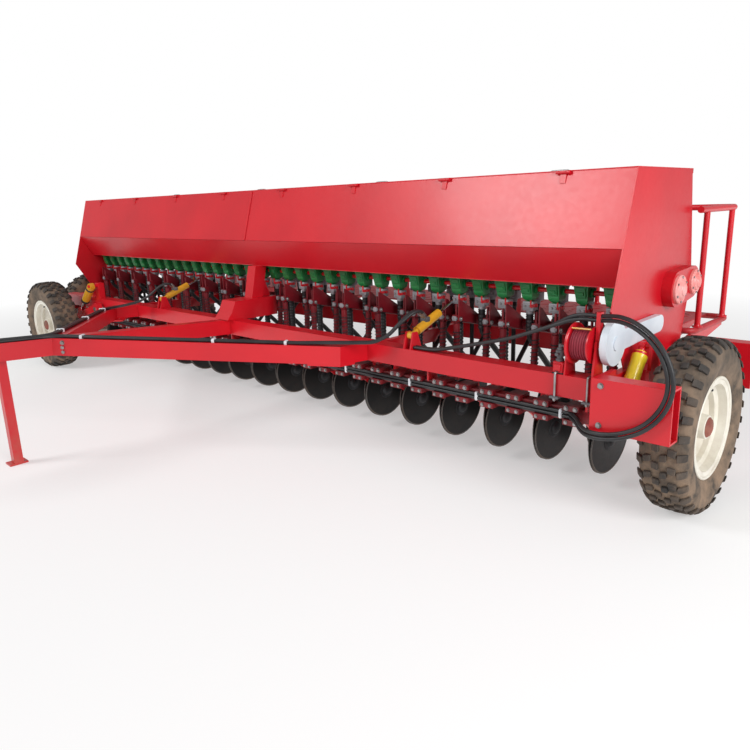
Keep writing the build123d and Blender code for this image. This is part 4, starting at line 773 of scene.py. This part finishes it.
# %% U-bolts, plate and valve
U_BOLT_X = (2562, 2716)
LEG_FRONT, LEG_BACK, U_TOP = -418, -302, 653
VALVE_BODY = [(0, 0), (0, 17), (8, 19), (12, 19), (14, 14), (22, 14), (24, 20), (50, 20), (52, 14),
              (60, 14), (64, 9), (78, 9), (80, 0)]
hoop_points = [(0, LEG_FRONT, z) for z in (524, 560, 642, U_TOP)]
hoop_points += [(0, y, U_TOP) for y in (-408, -360, -312)]
hoop_points += [(0, LEG_BACK, z) for z in (U_TOP, 642, 560, 524)]
u_bolts = [spot(x, 0, 0) for x in U_BOLT_X]
settle("beam_u_bolts", tube(hoop_points, 6.0), u_bolts, "bare_steel", smooth=60.0)
leg_ends = [spot(x, y, 536, DOWNWARD) for x in U_BOLT_X for y in (LEG_FRONT, LEG_BACK)]
settle("u_bolt_nuts", bolt(9.0), leg_ends, "bare_steel")
settle("u_bolt_plates", slab((-22, -428, 535), (22, -292, 545), 1.5), u_bolts, "cast_grey")
top_plate = slab((2538, -404, 644.5), (2592, -316, 650), 1.2)
settle("beam_top_plate", top_plate, [AS_DRAWN], "dark_steel")
valve_block = joined(
    slab((2538, -402, 648), (2588, -360, 700), 4.0),
    slab((2546, -410, 660), (2580, -398, 690), 2.0))
settle("valve_block", valve_block, [AS_DRAWN], "red_paint")
stop_valve = joined(
    lathe(VALVE_BODY, 12),
    slab((30, -36, -9), (42, -14, 9), 3.0),
    slab((68, -8, -46), (75, 8, 6), 2.5))
settle("stop_valve", stop_valve, [spot(2563, -381, 698, UPWARD)], "cast_grey")
socket_bolts = []
for z in (483, 652):
    socket_bolts += [spot(2811, -500, z, FORWARD), spot(2811, 620, z, REARWARD)]
settle("socket_bolts", bolt(11.0), socket_bolts, "bare_steel")

# %% [markdown]
# ## Drive end
# The drum beside the chain guard has grooves for its rope, the gear cases carry round red covers
# with pale pink patches of painted glare, and a yellow cylinder, in a brighter yellow that is
# painted sunlight, trims each land wheel.

# %% Drum, covers and trim cylinders
DRUM_Y, DRUM_Z = -360, 785
GROOVES, GROOVE_PITCH = 7, 11.6
DRUM_RIM = [(-3, 80), (-3, 89.5), (-1, 91.3), (7, 91.3), (9, 89.5), (9, 80), (-3, 80)]
COVER = [(-3, 0), (-3, 70.5), (12, 70.5), (16.5, 66), (17.5, 50), (24, 44), (27, 32), (32, 28),
         (34, 20), (34, 0)]
COVERS = {"fore": (335, 951, 1.0), "aft": (535, 969, 0.885)}  # y, z and size
COVER_X, COVER_BOLTS = 2793.2, 6
TRIM_CYLINDER = [(36, 0), (36, 31), (40, 35.4), (62, 35.4), (65, 33), (146, 33), (149, 35), (172, 35),
                 (176, 28), (190, 26), (191, 0)]
SWIVEL = [(-6, 0), (-6, 9.9), (9, 9.9), (10, 11.5), (24, 11.5), (25, 10), (38, 9.9), (40, 9.2), (40, 0)]
LIFT_X = (1687.0, -937.0)
arm_bolts = [spot(89, -1569, z, (-54, "Z")) for z in (634, 661, 688)]
settle("arm_joint_bolts", bolt(11.0), arm_bolts, "bare_steel")
grooves = [(8.5, 60)]
for i in range(GROOVES):
    grooves += [(x + GROOVE_PITCH * i, r) for x, r in ((9, 68.5), (12, 72.5), (16.5, 72.5), (19.5, 68.5))]
grooves.append((90, 60))
settle("drum_grooves", lathe(grooves, 40), [spot(2617, DRUM_Y, DRUM_Z)], "rope_red")
settle("drum_rim", lathe(DRUM_RIM, 48), [spot(2618, DRUM_Y, DRUM_Z)], "red_paint")
drum_bar = tube([(0, 0, 0), (40, 0, 1), (96, 0, 2)], 4.0)
settle("drum_bar", drum_bar, [spot(2616, -404, 858)], "yellow_paint")
for side, s in (("right", 1), ("left", -1)):
    for name, (y, z, size) in COVERS.items():
        facing = spot(s * COVER_X, y, z, (0 if s > 0 else 180, "Z")) @ Matrix.Diagonal((1.0, size, size, 1.0))
        out = Matrix.Translation((16, 0, 59))
        bolts = [facing @ Matrix.Rotation(math.tau * i / COVER_BOLTS, 4, "X") @ out
                 for i in range(COVER_BOLTS)]
        ending = "_%s_%s" % (name, side)
        # The covers are red with pale pink patches of painted glare
        settle("case_cover" + ending, lathe(COVER, 36), [facing], "cover_red_painted_glare")
        settle("case_bolts" + ending, bolt(5.5), bolts, "bare_steel")
trims = [aimed(s * 2804, -205, 565, (0, 130, 180)) for s in (-1, 1)]
# The trim cylinders take the brighter yellow, which is painted sunlight on the same yellow paint
settle("trim_cylinders", lathe(TRIM_CYLINDER, 24), trims, "sunlit_yellow_painted_light")
port_block = slab((-23, -270, 772), (23, -238, 800), 4.0, 2)
settle("lift_ports", port_block, [spot(x, 0, 0) for x in LIFT_X], "cast_grey", "lift_barrels")
swivels = [aimed(x + dx, -262, 797, (0, -45, 50)) for x in LIFT_X for dx in (-10, 10)]
settle("port_swivels", lathe(SWIVEL, 12), swivels, "bare_steel", "lift_barrels")

# %% [markdown]
# ## Transport cylinders, couplers and footboard
# The transport cylinders get their gland and base rings, the hose ends on the tongue their
# ribbed couplers, and the footboard a raised tread of small lozenges, set in pairs that lean
# opposite ways.

# %% Cylinder rings and couplers
GLAND_RING = [(200, 0), (200, 36.5), (206, 39), (222, 39), (226, 36), (226, 0)]
BASE_RING = [(30, 0), (30, 36.5), (34, 38.5), (46, 38.5), (50, 36.5), (50, 0)]
CYLINDER_TOP_X, CYLINDER_TOP_Z, CYLINDER_RUN = -2050, 760, (-266.8, 0, -225.8)
COUPLER = [(0, 0), (0, 6), (1, 8), (4, 9.9), (12, 9.9), (14, 8.6), (18, 8.6), (20, 9.9), (34, 9.9),
           (36, 9.4), (36, 0)]
CRANK = [(0, 0, 0), (-26, 0, 0), (-34, 0, 0), (-38, 0, 8), (-38, 0, 62), (-38, 0, 70), (-46, 0, 72),
         (-96, 0, 72)]
JACK_Y = -1860
rings = joined(lathe(GLAND_RING, 24), lathe(BASE_RING, 24))
for end in ("front", "rear"):
    low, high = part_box("transport_barrel_" + end)
    middle_y = ((low[1] + high[1]) / 2 - SHIFT_Y) * 1000.0
    along = aimed(CYLINDER_TOP_X, middle_y, CYLINDER_TOP_Z, CYLINDER_RUN)
    settle("cylinder_rings_" + end, again(rings), [along], "dark_steel", "barrel_transport_" + end)
bpy.data.objects.remove(rings)
couplers = [spot(x, -2368, 768, REARWARD) for x in (-30, -10, 10, 30)]
settle("coupler_tips", lathe(COUPLER, 12), couplers, "bare_steel", smooth=50.0)
joint_bolts = [spot(x, -2105, z, FORWARD) for x, z in ((50, 722), (50, 662), (-22, 632), (22, 632))]
settle("tongue_joint_bolts", bolt(8.0), joint_bolts, "bare_steel")
settle("jack_crank", tube(CRANK, 6.5), [spot(-95, JACK_Y, 660)], "bare_steel", "jack", 60.0)
collar = slab((-101, -31, 688), (-39.8, 31, 700), 2.5)
settle("jack_collar", collar, [spot(0, JACK_Y, 0)], "red_paint", "jack")

# %% Footboard tread and post flanges
BOARD_Z = 710
TREAD_ROWS, TREAD_COLUMNS = 7, 52
TREAD_PITCH_X, TREAD_PITCH_Y = 90, 78
POSTS = [(2778, 700), (-2033, 700), (-2033, 1103), (2778, 1103), (-1000, 1183), (0, 1183), (1000, 1183),
         (1980, 1183)]
POST_FLANGE = [(-1, 0), (-1, 27), (4, 27), (6, 25), (7, 18), (14, 16), (14, 0)]
tread_spots = []
for row in range(TREAD_ROWS):
    for column in range(TREAD_COLUMNS):
        lean = 45 if (row + column) % 2 else -45
        x, y = -1985 + TREAD_PITCH_X * column, 672 + TREAD_PITCH_Y * row
        tread_spots.append(spot(x, y, BOARD_Z, (lean, "Z")))
lozenge = slab((-30, -4, -0.6), (30, 4, 2.4), 1.5)
settle("footboard_tread", lozenge, tread_spots, "step_plate")
posts = [spot(x, y, BOARD_Z, UPWARD) for x, y in POSTS]
settle("post_flanges", lathe(POST_FLANGE, 16), posts, "red_paint")
